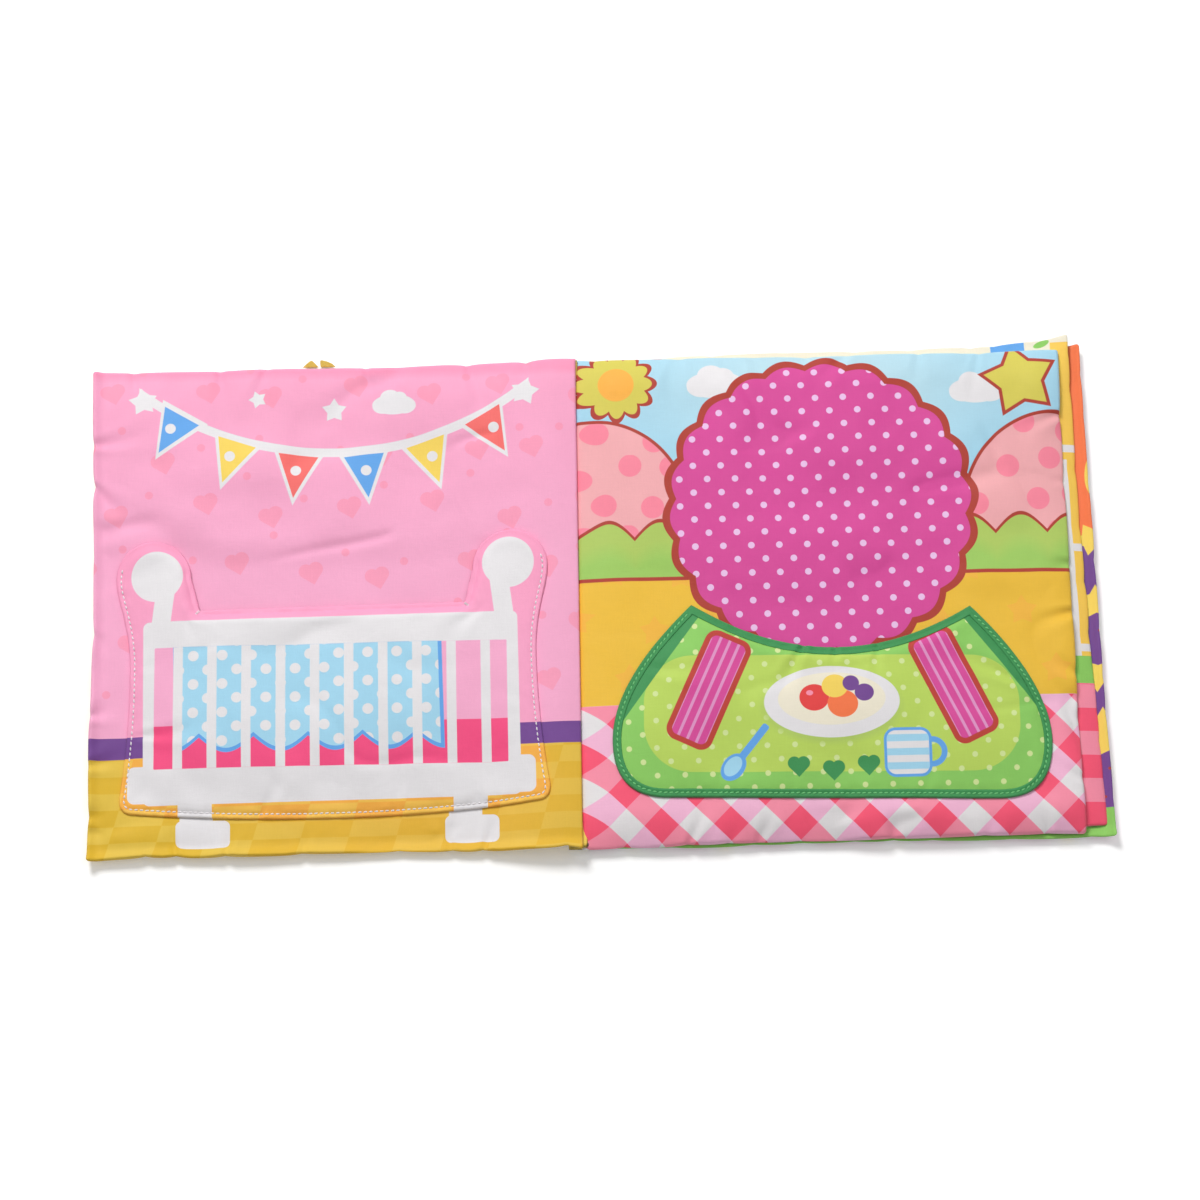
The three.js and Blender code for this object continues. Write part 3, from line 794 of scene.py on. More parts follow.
# Points over a pocket: rings near its edge and an even lattice inside them
def pocketPoints(outline, rings, cell):
    sets = [outline] + [insetPoints(outline, inset) for inset in rings]
    low, high = outline.min(0), outline.max(0)
    columns = np.arange(low[0], high[0], cell)
    rows = np.arange(low[1], high[1], cell * 0.866)
    x, y = np.meshgrid(columns, rows)
    x[1::2] += cell / 2
    lattice = np.stack([x.ravel(), y.ravel()], -1)
    lattice = lattice[insidePolygon(lattice, outline)]
    depth = edgeDistance(lattice, outline)
    keep = depth > rings[-1] + cell * 0.7
    return np.concatenate(sets + [lattice[keep]])


# A closed shell of cloth over those points, its edges rolled together
def shellMesh(name, outline, points, topHeight, bottomHeight, width=None):
    count = len(outline)
    edges = [(k, (k + 1) % count) for k in range(count)]
    found = delaunay_2d_cdt([Vector(p) for p in points], edges, [], 0, 1e-5)
    flat = np.array([tuple(v) for v in found[0]])
    triangles = np.array([tuple(f) for f in found[2] if len(f) == 3])
    centre = flat[triangles].mean(1)
    keep = insidePolygon(centre, outline)
    if width is not None:
        keep &= edgeDistance(centre, outline) < width
    triangles = triangles[keep]
    a, b, c = (flat[triangles[:, k]] for k in range(3))
    turn = (b[:, 0] - a[:, 0]) * (c[:, 1] - a[:, 1]) - (b[:, 1] - a[:, 1]) * (c[:, 0] - a[:, 0])
    triangles[turn < 0] = triangles[turn < 0][:, ::-1]
    used = np.unique(triangles)
    renumber = np.full(len(flat), -1)
    renumber[used] = np.arange(len(used))
    flat, triangles = flat[used], renumber[triangles]
    depth = edgeDistance(flat, outline)

    # an edge used once is on the border, where top and bottom share their points
    sides = np.concatenate([triangles[:, [0, 1]], triangles[:, [1, 2]], triangles[:, [2, 0]]])
    key = np.sort(sides, axis=1) @ np.array([len(flat), 1])
    _, index, uses = np.unique(key, return_index=True, return_counts=True)
    border = np.zeros(len(flat), bool)
    border[sides[index[uses == 1]].ravel()] = True
    x, y = flat[:, 0], flat[:, 1]
    top, bottom = topHeight(x, y, depth), bottomHeight(x, y, depth)
    top = np.where(border, (top + bottom) / 2, top)
    lower = np.arange(len(flat))
    lower[~border] = len(flat) + np.arange((~border).sum())
    points = np.concatenate([np.stack([x, y, top], -1), np.stack([x, y, bottom], -1)[~border]])
    faces = np.concatenate([triangles, lower[triangles][:, ::-1]])
    made = addObject(smoothMesh(name, points, faces, np.concatenate([flat, flat[~border]])))
    made["flatArea"] = abs(signedArea(outline)) * mm * mm
    return made


def traySide(up):
    t = tray
    rise = clampShare((up + t["shoulderDrop"]) / (t["shoulderDrop"] + t["tipRise"]))
    return t["shoulderHalf"] - (t["shoulderHalf"] - t["tipHalf"]) * rise ** 2


# How high a pocket stands open over its page
def gapeOf(x, y, pocket):
    across, up = unplaced(x, y, pocket)
    half = pocket["waistHalf"] if pocket is crib else traySide(up)
    side = easeOut((half - np.abs(across)) / pocket["gapeSide"])
    gape = pocket["gape"] * side * easeOut((up + pocket["bottomDrop"]) / pocket["gapeBottom"])
    if pocket is crib:
        lobe = smooth(up / (crib["lobeRise"] + crib["lobeRadius"]))
        gape = gape * (1 - lobe / 2) + crib["droop"] * lobe * (1 - side) / 2
    return gape


# Sizes and heights in mm
gather = {"puckerSize": 3.4, "pucker": 0.3, "foldSize": 15, "fold": 0.6, "swellSize": 38, "swell": 0.9,
          "broken": 0.6}


# Small folds that the stitches gather, and soft ones across the open cloth
def pocketBumps(x, y, depth, pocket, sewnShare):
    g, seed = gather, pocket["seed"]
    puckers = softNoise(x, y, g["puckerSize"], seed) * g["pucker"] * np.exp(-((depth - 3.2) / 3) ** 2)
    folds = softNoise(x + 0.25 * y, y * 0.55, g["foldSize"], seed + 1) * g["fold"]
    broad = softNoise(x, y, g["swellSize"], seed + 2) * g["swell"]
    broad = broad - softFolds(x, y, seed + 3) * g["broken"]
    bumps = puckers * sewnShare + (folds + broad) * smooth((depth - 3.5) / 14)
    room = gapeOf(x, y, pocket) / pocket["gape"]
    for crease in pocket["creases"]:
        bumps = bumps + creaseHeight(x, y, crease) * atLeast(0.15, room)
    return bumps * smooth((np.abs(x) - 8) / gutterRest["reach"])


# 1 where a seam holds the pocket, and 0 at its mouth
def sewnAlong(x, y, pocket):
    _, up = unplaced(x, y, pocket)
    return smooth((pocket["stitchTop"] - up) / 4)


def seamGroove(depth, pocket):
    return pocket["groove"] * np.exp(-((depth - pocket["stitchInset"]) / pocket["grooveWidth"]) ** 2)


def pocketBase(x, y, depth, pocket):
    hem = smooth((depth - 0.8) / 6)
    flatter = atLeast(0.82, smooth((np.abs(x) - 24) / 30))      # room to close over the gutter
    gape = gapeOf(x, y, pocket) * atLeast(0.35, hem) * flatter
    return pageTop(pocket["page"], x, y) + pocket["seat"] + gape


def makeCrib():
    outline = placed(cribOutline(), crib)
    rings = [0.16, 0.45, 0.9, 1.5, 1.95, 2.4, 2.85, 3.5, 4.6]
    points = pocketPoints(outline, rings, crib["cell"])

    def base(x, y, depth):
        return pocketBase(x, y, depth, crib)

    def top(x, y, depth):
        stitched = sewnAlong(x, y, crib)
        plump = crib["plump"] * rimShare(depth, 0.75)
        groove = seamGroove(depth, crib) * stitched
        settle = crib["settle"] * smooth((depth - 4) / 5)
        return base(x, y, depth) + plump - groove - settle + pocketBumps(x, y, depth, crib, stitched)

    def bottom(x, y, depth):
        lift = 0.62 * smooth((depth - 1.2) / 0.8)
        return np.minimum(base(x, y, depth) + 0.02 + lift, top(x, y, depth) - 0.2 * rimShare(depth, 0.75))

    face = shellMesh("crib_pocket_cloth", outline, points, top, bottom)

    innerLine = insetPoints(outline, 1.7)
    innerPoints = pocketPoints(innerLine, [0.15, 0.6], 2.6)

    def innerTop(x, y, depth):
        outer = edgeDistance(np.stack([x, y], -1), outline)
        return bottom(x, y, outer) - 0.07

    def innerBottom(x, y, depth):
        return innerTop(x, y, depth) - 0.3 * rimShare(depth, 0.15)

    lining = shellMesh("crib_pocket_lining_cloth", innerLine, innerPoints, innerTop, innerBottom)
    return outline, face, lining, top


def makeTray():
    outline = placed(trayOutline(), tray)
    width = tray["bindingWidth"]

    def base(x, y, depth):
        return pocketBase(x, y, depth, tray)

    def faceTop(x, y, depth):
        stitched = sewnAlong(x, y, tray)
        settle = tray["settle"] * smooth((depth - 5) / 6)
        return base(x, y, depth) + tray["faceRise"] - settle + pocketBumps(x, y, depth, tray, stitched)

    faceLine = insetPoints(outline, 0.7)
    facePoints = pocketPoints(faceLine, [0.2, 1.1, 2.2, 3.2, 4.2, 5.4], tray["cell"])

    def fromOutside(height, shift):
        def measured(x, y, depth):
            return height(x, y, edgeDistance(np.stack([x, y], -1), outline)) + shift(depth)
        return measured

    face = shellMesh("tray_pocket_cloth", faceLine, facePoints,
                     fromOutside(faceTop, lambda d: 0 * d),
                     fromOutside(faceTop, lambda d: -0.32 * rimShare(d, 0.2)))
    lining = shellMesh("tray_pocket_lining_cloth", faceLine, pocketPoints(faceLine, [0.2, 1], 2.6),
                       fromOutside(faceTop, lambda d: -0.4 + 0 * d),
                       fromOutside(faceTop, lambda d: -0.4 - 0.3 * rimShare(d, 0.2)))

    def tapeTop(x, y, depth):
        stitched = sewnAlong(x, y, tray)
        plump = tray["plump"] * rimShare(depth, 0.8)
        groove = seamGroove(depth, tray) * stitched
        lip = 0.3 * smooth((depth - (width - 0.7)) / 0.7)
        return base(x, y, depth) + plump - groove - lip + pocketBumps(x, y, depth, tray, stitched)

    def tapeBottom(x, y, depth):
        lift = 0.94 * smooth((depth - 0.42) / 0.2)
        return base(x, y, depth) + 0.02 + lift + pocketBumps(x, y, depth, tray, 1)

    rings = [0.14, 0.42, 0.64, 0.9, 1.4, 1.8, 2.2, 2.6, 3.1, 3.5, 3.8]
    tapePoints = np.concatenate([outline] + [insetPoints(outline, inset) for inset in rings + [width]])
    tape = shellMesh("tray_pocket_tape", outline, tapePoints, tapeTop, tapeBottom, width)
    return outline, face, lining, tape, tapeTop


cribEdge, cribFace, cribLining, cribFaceTop = makeCrib()
trayEdge, trayFace, trayLining, trayTape, trayTapeTop = makeTray()
print("pockets made,", len(cribFace.data.polygons), "and", len(trayFace.data.polygons), "faces")

# Inks and dyes, as the photograph shows them (0 to 255)
inks = {
    "pink": (250, 174, 208), "blush": (253, 150, 176), "rose": (255, 140, 176), "hotPink": (252, 80, 134),
    "coral": (248, 112, 108), "red": (232, 66, 66), "white": (235, 232, 234), "cream": (244, 236, 214),
    "purple": (116, 70, 146), "gold": (226, 184, 44), "ochre": (234, 202, 84), "yellow": (243, 194, 60),
    "honey": (253, 207, 88), "sun": (250, 216, 96), "amber": (252, 180, 72), "orange": (250, 122, 72),
    "sky": (158, 214, 240), "paleSky": (196, 226, 234), "blue": (100, 168, 236),
    "lightBlue": (166, 218, 242), "magenta": (219, 74, 155), "lilac": (240, 198, 238),
    "brown": (176, 60, 46), "leaf": (142, 206, 98), "lime": (190, 218, 96), "paleLime": (216, 234, 158),
    "green": (60, 146, 82), "moss": (179, 206, 100), "checkRed": (255, 88, 120),
    "checkPink": (255, 148, 172), "checkPale": (250, 188, 218), "checkWhite": (236, 232, 233),
    "dustyPink": (224, 176, 196), "pocketPink": (254, 162, 198), "shell": (246, 176, 180),
    "petal": (252, 138, 160), "belt": (190, 62, 50), "lemon": (218, 206, 88), "ribbonGold": (214, 176, 62),
    "threadWhite": (255, 250, 253), "threadGreen": (126, 222, 138), "clothWhite": (236, 234, 232),
    "film": (214, 224, 230),
}


def ink(name):
    channels = [c / 255 for c in inks[name]]
    linear = [c / 12.92 if c <= 0.04045 else ((c + 0.055) / 1.055) ** 2.4 for c in channels]
    return (*linear, 1)


# Cloth finish: weave, slubs and small crumples, from a flat place in mm
clothNoise = {"slub": 1.4, "slubStretch": 0.12, "slubShade": 0.035, "mottle": 0.045, "crumpleWarp": 0.6}


def makeClothFinish():
    group, given, end = newGroup("cloth_finish", "ShaderNodeTree", {
        "Place": (0, 0, 0), "Weave Pitch": 0.42, "Weave Height": 0.02, "Crumple Height": 0.22,
        "Crumple Size": 13, "Fade": 0.05,
    }, {"Shade": "Float", "Height": "Float", "Roughness": "Float"})

    def noise(size, detail, stretch=(1, 1, 1), distortion=0):
        sockets = {"Vector": vectorCalc(group, "MULTIPLY", given["Place"], stretch), "Scale": size,
                   "Detail": detail, "Distortion": distortion}
        made = addNode(group, "ShaderNodeTexNoise", sockets, noise_dimensions="2D")
        return Number(group, made.outputs[0])

    turned = scaled(group, given["Place"], calc(group, "DIVIDE", math.tau, given["Weave Pitch"]))
    x, y = planeOf(group, vectorCalc(group, "SINE", turned))
    c = clothNoise
    crumple = noise(calc(group, "DIVIDE", 1, given["Crumple Size"]), 3, distortion=c["crumpleWarp"])
    slubs = noise(c["slub"], 1, (c["slubStretch"], 1, 1)) + noise(c["slub"], 1, (1, c["slubStretch"], 1))
    mottle = noise(c["mottle"], 2)
    height = (x * y + slubs * 1.5) * given["Weave Height"] + crumple * given["Crumple Height"]
    feed(group, end, "Height", height)
    feed(group, end, "Shade", (mottle - 0.5) * given["Fade"] + (slubs - 1) * c["slubShade"] + 1)
    feed(group, end, "Roughness", (crumple - 0.5) * 0.2 + 0.6)
    return group


clothFinish = makeClothFinish()


def pagePlace(tree):
    return addNode(tree, "ShaderNodeUVMap", uv_map="page").outputs["UV"]


# Flat place on a piece without a map: its own coordinates in mm
def objectPlace(tree):
    return scaled(tree, addNode(tree, "ShaderNodeTexCoord").outputs["Object"], 1 / mm)


def startMaterial(name, placeOf=pagePlace):
    material = bpy.data.materials.new(name)
    material.use_nodes = True
    tree = material.node_tree
    return material, tree, tree.nodes["Principled BSDF"], placeOf(tree)


# Puts a colour under the cloth finish and into the shader
def finishCloth(tree, shader, place, colour, weave=0.02, crumple=0.22, size=13, fade=0.05, pitch=0.42,
                sheen=0.12, gloss=0.32):
    cloth = addGroup(tree, clothFinish, {
        "Place": place, "Weave Pitch": pitch, "Weave Height": weave, "Crumple Height": crumple,
        "Crumple Size": size, "Fade": fade,
    }).outputs
    addBump(tree, shader, cloth["Height"], mm, 0.9)
    finish = {
        "Base Color": scaled(tree, colour, cloth["Shade"]), "Roughness": cloth["Roughness"],
        "Sheen Weight": sheen, "Sheen Roughness": 0.5, "Specular IOR Level": gloss,
    }
    for socket, value in finish.items():
        feed(tree, shader, socket, value)


def plainCloth(name, inkName, placeOf=objectPlace, **finish):
    material, tree, shader, place = startMaterial(name, placeOf)
    finishCloth(tree, shader, place, addInk(tree, inkName), **finish)
    return material


def addInk(tree, name):
    colour = addNode(tree, "ShaderNodeRGB").outputs[0]
    colour.default_value = ink(name)
    return colour


# Sewing thread: two plies twisted together, with painted shade in the grooves between them
ply = {"Scale": 1.1, "Distortion": 1.5, "shade": 0.8, "depth": 0.1 * mm, "Roughness": 0.45, "sheen": 0.2}


def makeThread(name, inkName):
    material, tree, shader, place = startMaterial(name, objectPlace)
    sockets = {"Vector": place, "Scale": ply["Scale"], "Distortion": ply["Distortion"]}
    twist = addNode(tree, "ShaderNodeTexWave", sockets, bands_direction="DIAGONAL").outputs["Fac"]
    # painted shade: the thread is darker where the twist's bump is low, between the plies
    bright = ink(inkName)
    dark = tuple(c * ply["shade"] for c in bright[:3]) + (1,)
    feed(tree, shader, "Base Color", mixed(tree, twist, dark, bright))
    addBump(tree, shader, twist, ply["depth"])
    feed(tree, shader, "Roughness", ply["Roughness"])
    feed(tree, shader, "Sheen Weight", ply["sheen"])
    return material


threads = {
    "white": makeThread("white_thread", "threadWhite"),
    "green": makeThread("green_thread", "threadGreen"),
}

# Stitches along a path, by Geometry Nodes

def makeStitchTree():
    group, given, end = newGroup("sewn_stitches", "GeometryNodeTree", {
        "Path": "Geometry", "Pitch": 0.0025, "Length": 0.0019, "Width": 0.0006, "Slant": 0.1,
        "Unevenness": 0.08, "Seed": 5, "Thread": "Material",
    }, {"Stitches": "Geometry"})

    def add(kind, sockets=(), **settings):
        return addNode(group, kind, sockets, **settings)

    curve = add("GeometryNodeMeshToCurve", {0: given["Path"]})
    spaced = add("GeometryNodeResampleCurve", {"Curve": curve, "Length": given["Pitch"]}, mode="LENGTH")
    bead = add("GeometryNodeMeshUVSphere", {"Segments": 8, "Rings": 5, "Radius": 0.5})
    size = add("ShaderNodeCombineXYZ", {0: given["Length"], 1: given["Width"], 2: given["Width"]})
    shaped = add("GeometryNodeTransform", {"Geometry": bead, "Scale": size})
    facing = add("FunctionNodeAxesToRotation",
                 {"Primary Axis": add("GeometryNodeInputTangent"), "Secondary Axis": (0, 0, 1)},
                 primary_axis="X", secondary_axis="Z")
    most = given["Unevenness"]
    uneven = add("FunctionNodeRandomValue",
                 {2: calc(group, "MULTIPLY", most, -1), 3: most, "Seed": given["Seed"]}, data_type="FLOAT")
    turnZ = add("ShaderNodeCombineXYZ", {2: calc(group, "ADD", uneven.outputs[1], given["Slant"])})
    turned = add("FunctionNodeRotateRotation",
                 {"Rotation": facing, "Rotate By": add("FunctionNodeEulerToRotation", {0: turnZ})},
                 rotation_space="LOCAL")
    laid = add("GeometryNodeInstanceOnPoints", {"Points": spaced, "Instance": shaped, "Rotation": turned})
    soft = add("GeometryNodeSetShadeSmooth", {0: add("GeometryNodeRealizeInstances", {0: laid})})
    feed(group, end, 0, add("GeometryNodeSetMaterial", {"Geometry": soft, "Material": given["Thread"]}))
    return group


stitchTree = makeStitchTree()


def makeStitches(name, paths, values):
    mesh = bpy.data.meshes.new(name)
    points = np.concatenate(paths) * mm
    ends = np.cumsum([len(path) for path in paths])
    edges = [(k, k + 1) for k in range(len(points) - 1) if k + 1 not in ends]
    mesh.from_pydata(points.tolist(), edges, [])
    guide = addObject(mesh)
    modifier = guide.modifiers.new("stitches", "NODES")
    modifier.node_group = stitchTree
    sockets = {s.name: s.identifier for s in stitchTree.interface.items_tree if s.in_out == "INPUT"}
    for label, value in values.items():
        modifier[sockets[label]] = value
    bpy.context.view_layer.update()
    ready = guide.evaluated_get(bpy.context.evaluated_depsgraph_get())
    result = bpy.data.meshes.new_from_object(ready)
    result.name = name
    guide.modifiers.remove(modifier)
    guide.data = result
    bpy.data.meshes.remove(mesh)
    return guide


# The seam line of a pocket: its inset outline where `sewnAt` holds, lifted onto the cloth
def sewnPath(outline, pocket, height, sewnAt, rise=0.1):
    ring = insetPoints(outline, pocket["stitchInset"])
    across, up = unplaced(ring[:, 0], ring[:, 1], pocket)
    ring = ring[sewnAt(np.abs(across), up)]
    tops = height(ring[:, 0], ring[:, 1], edgeDistance(ring, outline)) + rise
    return np.column_stack([ring, tops])


cribSeam = sewnPath(cribEdge, crib, cribFaceTop,
                    lambda across, up: (up < crib["stitchTop"]) & ((across > crib["lobeX"]) | (up < -50)))
traySeam = sewnPath(trayEdge, tray, trayTapeTop, lambda across, up:
                    (up < tray["tipRise"] - 4.6) & ((up < -20) | (across > traySide(up) - 5)))


# A short dense bar that stops a corner of the crib pocket from tearing
def tackPath(x, y, angle, length=2, rise=0.12):
    share = np.linspace(-0.5, 0.5, 5)[:, None]
    points = np.array([[x, y]]) + share * length * np.array([[math.cos(angle), math.sin(angle)]])
    tops = cribFaceTop(points[:, 0], points[:, 1], edgeDistance(points, cribEdge)) + rise
    return np.column_stack([points, tops])


seam = {"Pitch": 2.5 * mm, "Length": 2.0 * mm, "Width": 0.78 * mm, "Slant": 0.1}
tack = {"Pitch": 0.42 * mm, "Length": 1.5 * mm, "Width": 0.4 * mm, "Slant": 1.4}
cribStitches = makeStitches("crib_pocket_stitches", [cribSeam], dict(seam, Thread=threads["white"]))
cornerTacks = [tackPath(-179.4, -2.4, 0.8), tackPath(-54.7, -1.2, -0.7)]
cribTacks = makeStitches("crib_pocket_tacks", cornerTacks, dict(tack, Thread=threads["white"]))
trayStitches = makeStitches("tray_pocket_stitches", [traySeam],
                            dict(seam, Thread=threads["green"], Slant=0.22, Unevenness=0.14))
print("stitches sewn")


# Spine and ribbons

# A strip of cloth: a section of points, run along the spine from foot to head
def stripMesh(name, section, lines, thickness, waver, seed):
    section = np.array(section, float)
    step = np.gradient(section, axis=0)
    step /= np.linalg.norm(step, axis=1)[:, None]
    normal = np.stack([-step[:, 1], step[:, 0]], -1)
    reach = np.concatenate([[0], np.cumsum(np.linalg.norm(np.diff(section, axis=0), axis=1))])
    fromEnd = np.minimum(reach, reach[-1] - reach)[:, None]
    fromEnd = np.minimum(fromEnd, np.minimum(lines - lines[0], lines[-1] - lines)[None, :])
    half = thickness / 2 * rimShare(fromEnd, thickness / 2)
    wave = softNoise(reach[:, None] * 2.4 + lines[None, :] * 0, lines[None, :] + reach[:, None] * 0, 17, seed)
    wave = wave * waver

    def side(sign):
        offset = (wave + sign * half)[..., None]
        flat = section[:, None, :] + normal[:, None, :] * offset
        y = np.broadcast_to(lines[None, :], flat.shape[:2])
        return np.stack([flat[..., 0], y, flat[..., 1]], -1)

    flat = np.stack(np.broadcast_arrays(reach[:, None], lines[None, :]), -1)
    return addObject(pairMesh(name, side(1), side(-1), flat))


spine = {
    "marginLeft": -9.1, "marginRight": -0.6, "marginFloor": 0.45, "marginPitch": 1.25,
    "marginThickness": 1.15, "plies": 3, "half": 115.5, "wrapHalf": 116.5, "wrapThickness": 0.4,
    "wrapLeft": -9.6, "wrapTop": 5.65, "wrapRound": 1.1, "wrapLip": -1.0,
    "stitchAt": -4.9, "stitchHigh": 5.93, "stitchHalf": 115,
}


def joined(objects, name):
    bpy.ops.object.select_all(action="DESELECT")
    for each in objects:
        each.select_set(True)
    bpy.context.view_layer.objects.active = objects[0]
    bpy.ops.object.join()
    objects[0].name = objects[0].data.name = name
    return objects[0]


def makeMargin(name, k):
    s = spine
    ply = s["marginThickness"] / s["plies"]
    lines = np.linspace(-s["half"], s["half"], 80)
    plies = []
    for p in range(s["plies"]):
        level = s["marginFloor"] + k * s["marginPitch"] + (p + 0.5) * ply
        cut = 0.25 * ((p * 7 + k * 3) % 3)
        x = np.linspace(s["marginLeft"] + cut, s["marginRight"], 12)
        section = np.stack([x, np.full(12, level)], -1)
        plies.append(stripMesh(f"{name}_ply", section, lines, ply * 0.86, 0.03, 11 + k * 3 + p))
    return joined(plies, name)


def makeWrap():
    s = spine
    left, top, r = s["wrapLeft"], s["wrapTop"], s["wrapRound"]
    low = s["wrapThickness"] / 2
    section = [(x, low) for x in np.linspace(-0.45, left + r, 10)]
    section += [(left + r - r * math.sin(a), low + r - r * math.cos(a)) for a in np.linspace(0.2, 1.57, 6)]
    section += [(left, z) for z in np.linspace(low + r + 0.4, top - r - 0.4, 6)]
    section += [(left + r - r * math.cos(a), top - r + r * math.sin(a)) for a in np.linspace(0, 1.4, 6)]
    section += [(x, top) for x in np.linspace(left + r + 0.3, s["wrapLip"], 10)]
    lines = np.linspace(-s["wrapHalf"], s["wrapHalf"], 110)
    return stripMesh("spine_wrap_cloth", section, lines, s["wrapThickness"] * 0.92, 0.06, 31)


marginNodes = ("back_cover_margin", "third_leaf_margin", "second_leaf_margin", "front_cover_margin")
margins = [makeMargin(f"{name}_cloth", k) for k, name in enumerate(marginNodes)]
wrap = makeWrap()
spineY = np.linspace(-spine["stitchHalf"], spine["stitchHalf"], 60)
spineLine = np.column_stack([0 * spineY + spine["stitchAt"], spineY, 0 * spineY + spine["stitchHigh"]])
spineStitches = makeStitches("spine_stitches", [spineLine], dict(seam, Thread=threads["white"]))

# Folded ribbon ends that stand out of the top seam
ribbons = {
    "ribbon_tab_left": {
        "outline": [(-131.2, 117.45), (-123.5, 117.45), (-124.6, 118.7), (-126.3, 120.5), (-127.0, 120.9),
                    (-127.8, 120.6), (-129.6, 119.1)],
        "fold": (-127.0, 120.9, -0.86), "turn": 42, "body": "ribbon_tab_left",
    },
    "ribbon_tab_right": {
        "outline": [(-122.6, 117.45), (-115.4, 117.45), (-117.2, 119.2), (-119.6, 120.3), (-121.9, 121.0),
                    (-122.7, 120.9), (-122.9, 120.2)],
        "fold": (-122.7, 120.9, -0.5), "turn": -20, "body": "ribbon_tab_right",
    },
}


def makeRibbon(name, values):
    corners = np.array(values["outline"])
    outline = np.concatenate([linePoints(a, b, 0.3) for a, b in zip(corners, np.roll(corners, -1, axis=0))])
    if signedArea(outline) < 0:
        outline = outline[::-1]
    points = pocketPoints(outline, [0.08, 0.2, 0.36], 0.3)
    foldX, foldY, slope = values["fold"]

    def top(x, y, depth):
        over = smooth(((x - foldX) - (y - foldY) * slope) / 0.4 + 0.5)
        return 0.5 + 0.32 * rimShare(depth, 0.3) + 0.16 * over + 0.05 * np.sin((x + y) * 1.3)

    def bottom(x, y, depth):
        return top(x, y, depth) - 0.7 * rimShare(depth, 0.3)

    return shellMesh(f"{name}_cloth", outline, points, top, bottom)


ribbonObjects = {name: makeRibbon(name, values) for name, values in ribbons.items()}
print("spine and ribbons made")
# Printed shapes: each group gives a mask of one flat shape about its own middle, in mm. Its formula
# says how far a point lies outside the shape.

def reachOf(x, y):
    return (x * x + y * y).step("SQRT")


def spotAway(x, y, size):
    least = size["Half Width"].step("MINIMUM", size["Half Height"])
    return (reachOf(x / size["Half Width"], y / size["Half Height"]) - 1) * least


def barAway(x, y, size):
    across = abs(x) - size["Half Width"] + size["Round"]
    up = abs(y) - size["Half Height"] + size["Round"]
    outside = reachOf(across.step("MAXIMUM", 0), up.step("MAXIMUM", 0))
    return outside + across.step("MAXIMUM", up).step("MINIMUM", 0) - size["Round"]


def petalsAway(x, y, size):
    turn = y.step("ARCTAN2", x) * size["Count"] * 0.5
    lobes = abs(turn.step("COSINE"))
    return reachOf(x, y) - ((lobes - 1) * size["Depth"] + 1) * size["Radius"]


# A star's points have sides that lean so much against their axis
starSide = {"out": 0.54, "across": 0.84}


def starAway(x, y, size):
    turn = x.step("ARCTAN2", y).step("PINGPONG", math.pi / 5)
    length = reachOf(x, y)
    out = length * turn.step("COSINE") - size["Radius"]
    return out * starSide["out"] + length * turn.step("SINE") * starSide["across"]


# Half a heart is a circle on the side of a square that stands on its corner
def heartAway(x, y, size):
    across, up = abs(x) / size["Size"], y / size["Size"] + 0.5
    lobe = reachOf(across - 0.25, up - 0.75) - math.sqrt(1 / 8)
    square = (across + abs(up - 0.5) - 0.5) * math.sqrt(1 / 2)
    return lobe.step("MINIMUM", square) * size["Size"]


def pennantAway(x, y, size):
    share = y / size["Height"] + 0.5
    side = abs(x) - share * size["Half Width"]
    return (side * 0.9).step("MAXIMUM", y - size["Height"] * 0.5)


def ringAway(x, y, size):
    return abs(reachOf(x, y) - size["Radius"]) - size["Width"] * 0.5


def edgeAway(x, y, size):
    wave = (x / size["Wave"] * math.pi).step("SINE")
    return x * size["Slope"] + y - abs(wave) * size["Scallop"] - wave * size["Swing"]


def stripesAway(x, y, size):
    half = size["Pitch"] * 0.5
    return x.step("PINGPONG", half) - size["Share"] * half


def shapeGroup(name, away, sizes):
    inputs = {"Point": (0, 0, 0), **sizes, "Soft": 0.25}
    group, given, end = newGroup(f"printed_{name}", "ShaderNodeTree", inputs, {"Mask": "Float"})
    x, y = planeOf(group, given["Point"])
    distance = away(x, y, {label: Number(group, given[label]) for label in sizes})
    sockets = {0: 0.5, 1: distance / given["Soft"]}
    mask = addNode(group, "ShaderNodeMath", sockets, operation="SUBTRACT", use_clamp=True)
    feed(group, end, "Mask", mask)
    return group


shapes = {name: shapeGroup(name, *made) for name, made in {
    "spot": (spotAway, {"Half Width": 5, "Half Height": 5}),
    "bar": (barAway, {"Half Width": 5, "Half Height": 2, "Round": 0.8}),
    "petals": (petalsAway, {"Radius": 5, "Count": 5, "Depth": 0.35}),
    "star": (starAway, {"Radius": 5}),
    "heart": (heartAway, {"Size": 8}),
    "pennant": (pennantAway, {"Half Width": 5, "Height": 10}),
    "ring": (ringAway, {"Radius": 20, "Width": 2}),
    "edge": (edgeAway, {"Scallop": 0, "Swing": 0, "Wave": 20, "Slope": 0}),
    "stripes": (stripesAway, {"Pitch": 10, "Share": 0.5}),
}.items()}


# Where a shape stands: moved to its middle and turned
def makePlaceGroup():
    group, given, end = newGroup("shape_place", "ShaderNodeTree", {
        "Point": (0, 0, 0), "Middle": (0, 0, 0), "Turn": 0,
    }, {"Local": "Vector"})
    sockets = {"Vector": given["Point"], "Center": given["Middle"], "Angle": given["Turn"]}
    turned = addNode(group, "ShaderNodeVectorRotate", sockets, rotation_type="Z_AXIS", invert=True)
    feed(group, end, 0, vectorCalc(group, "SUBTRACT", turned, given["Middle"]))
    return group


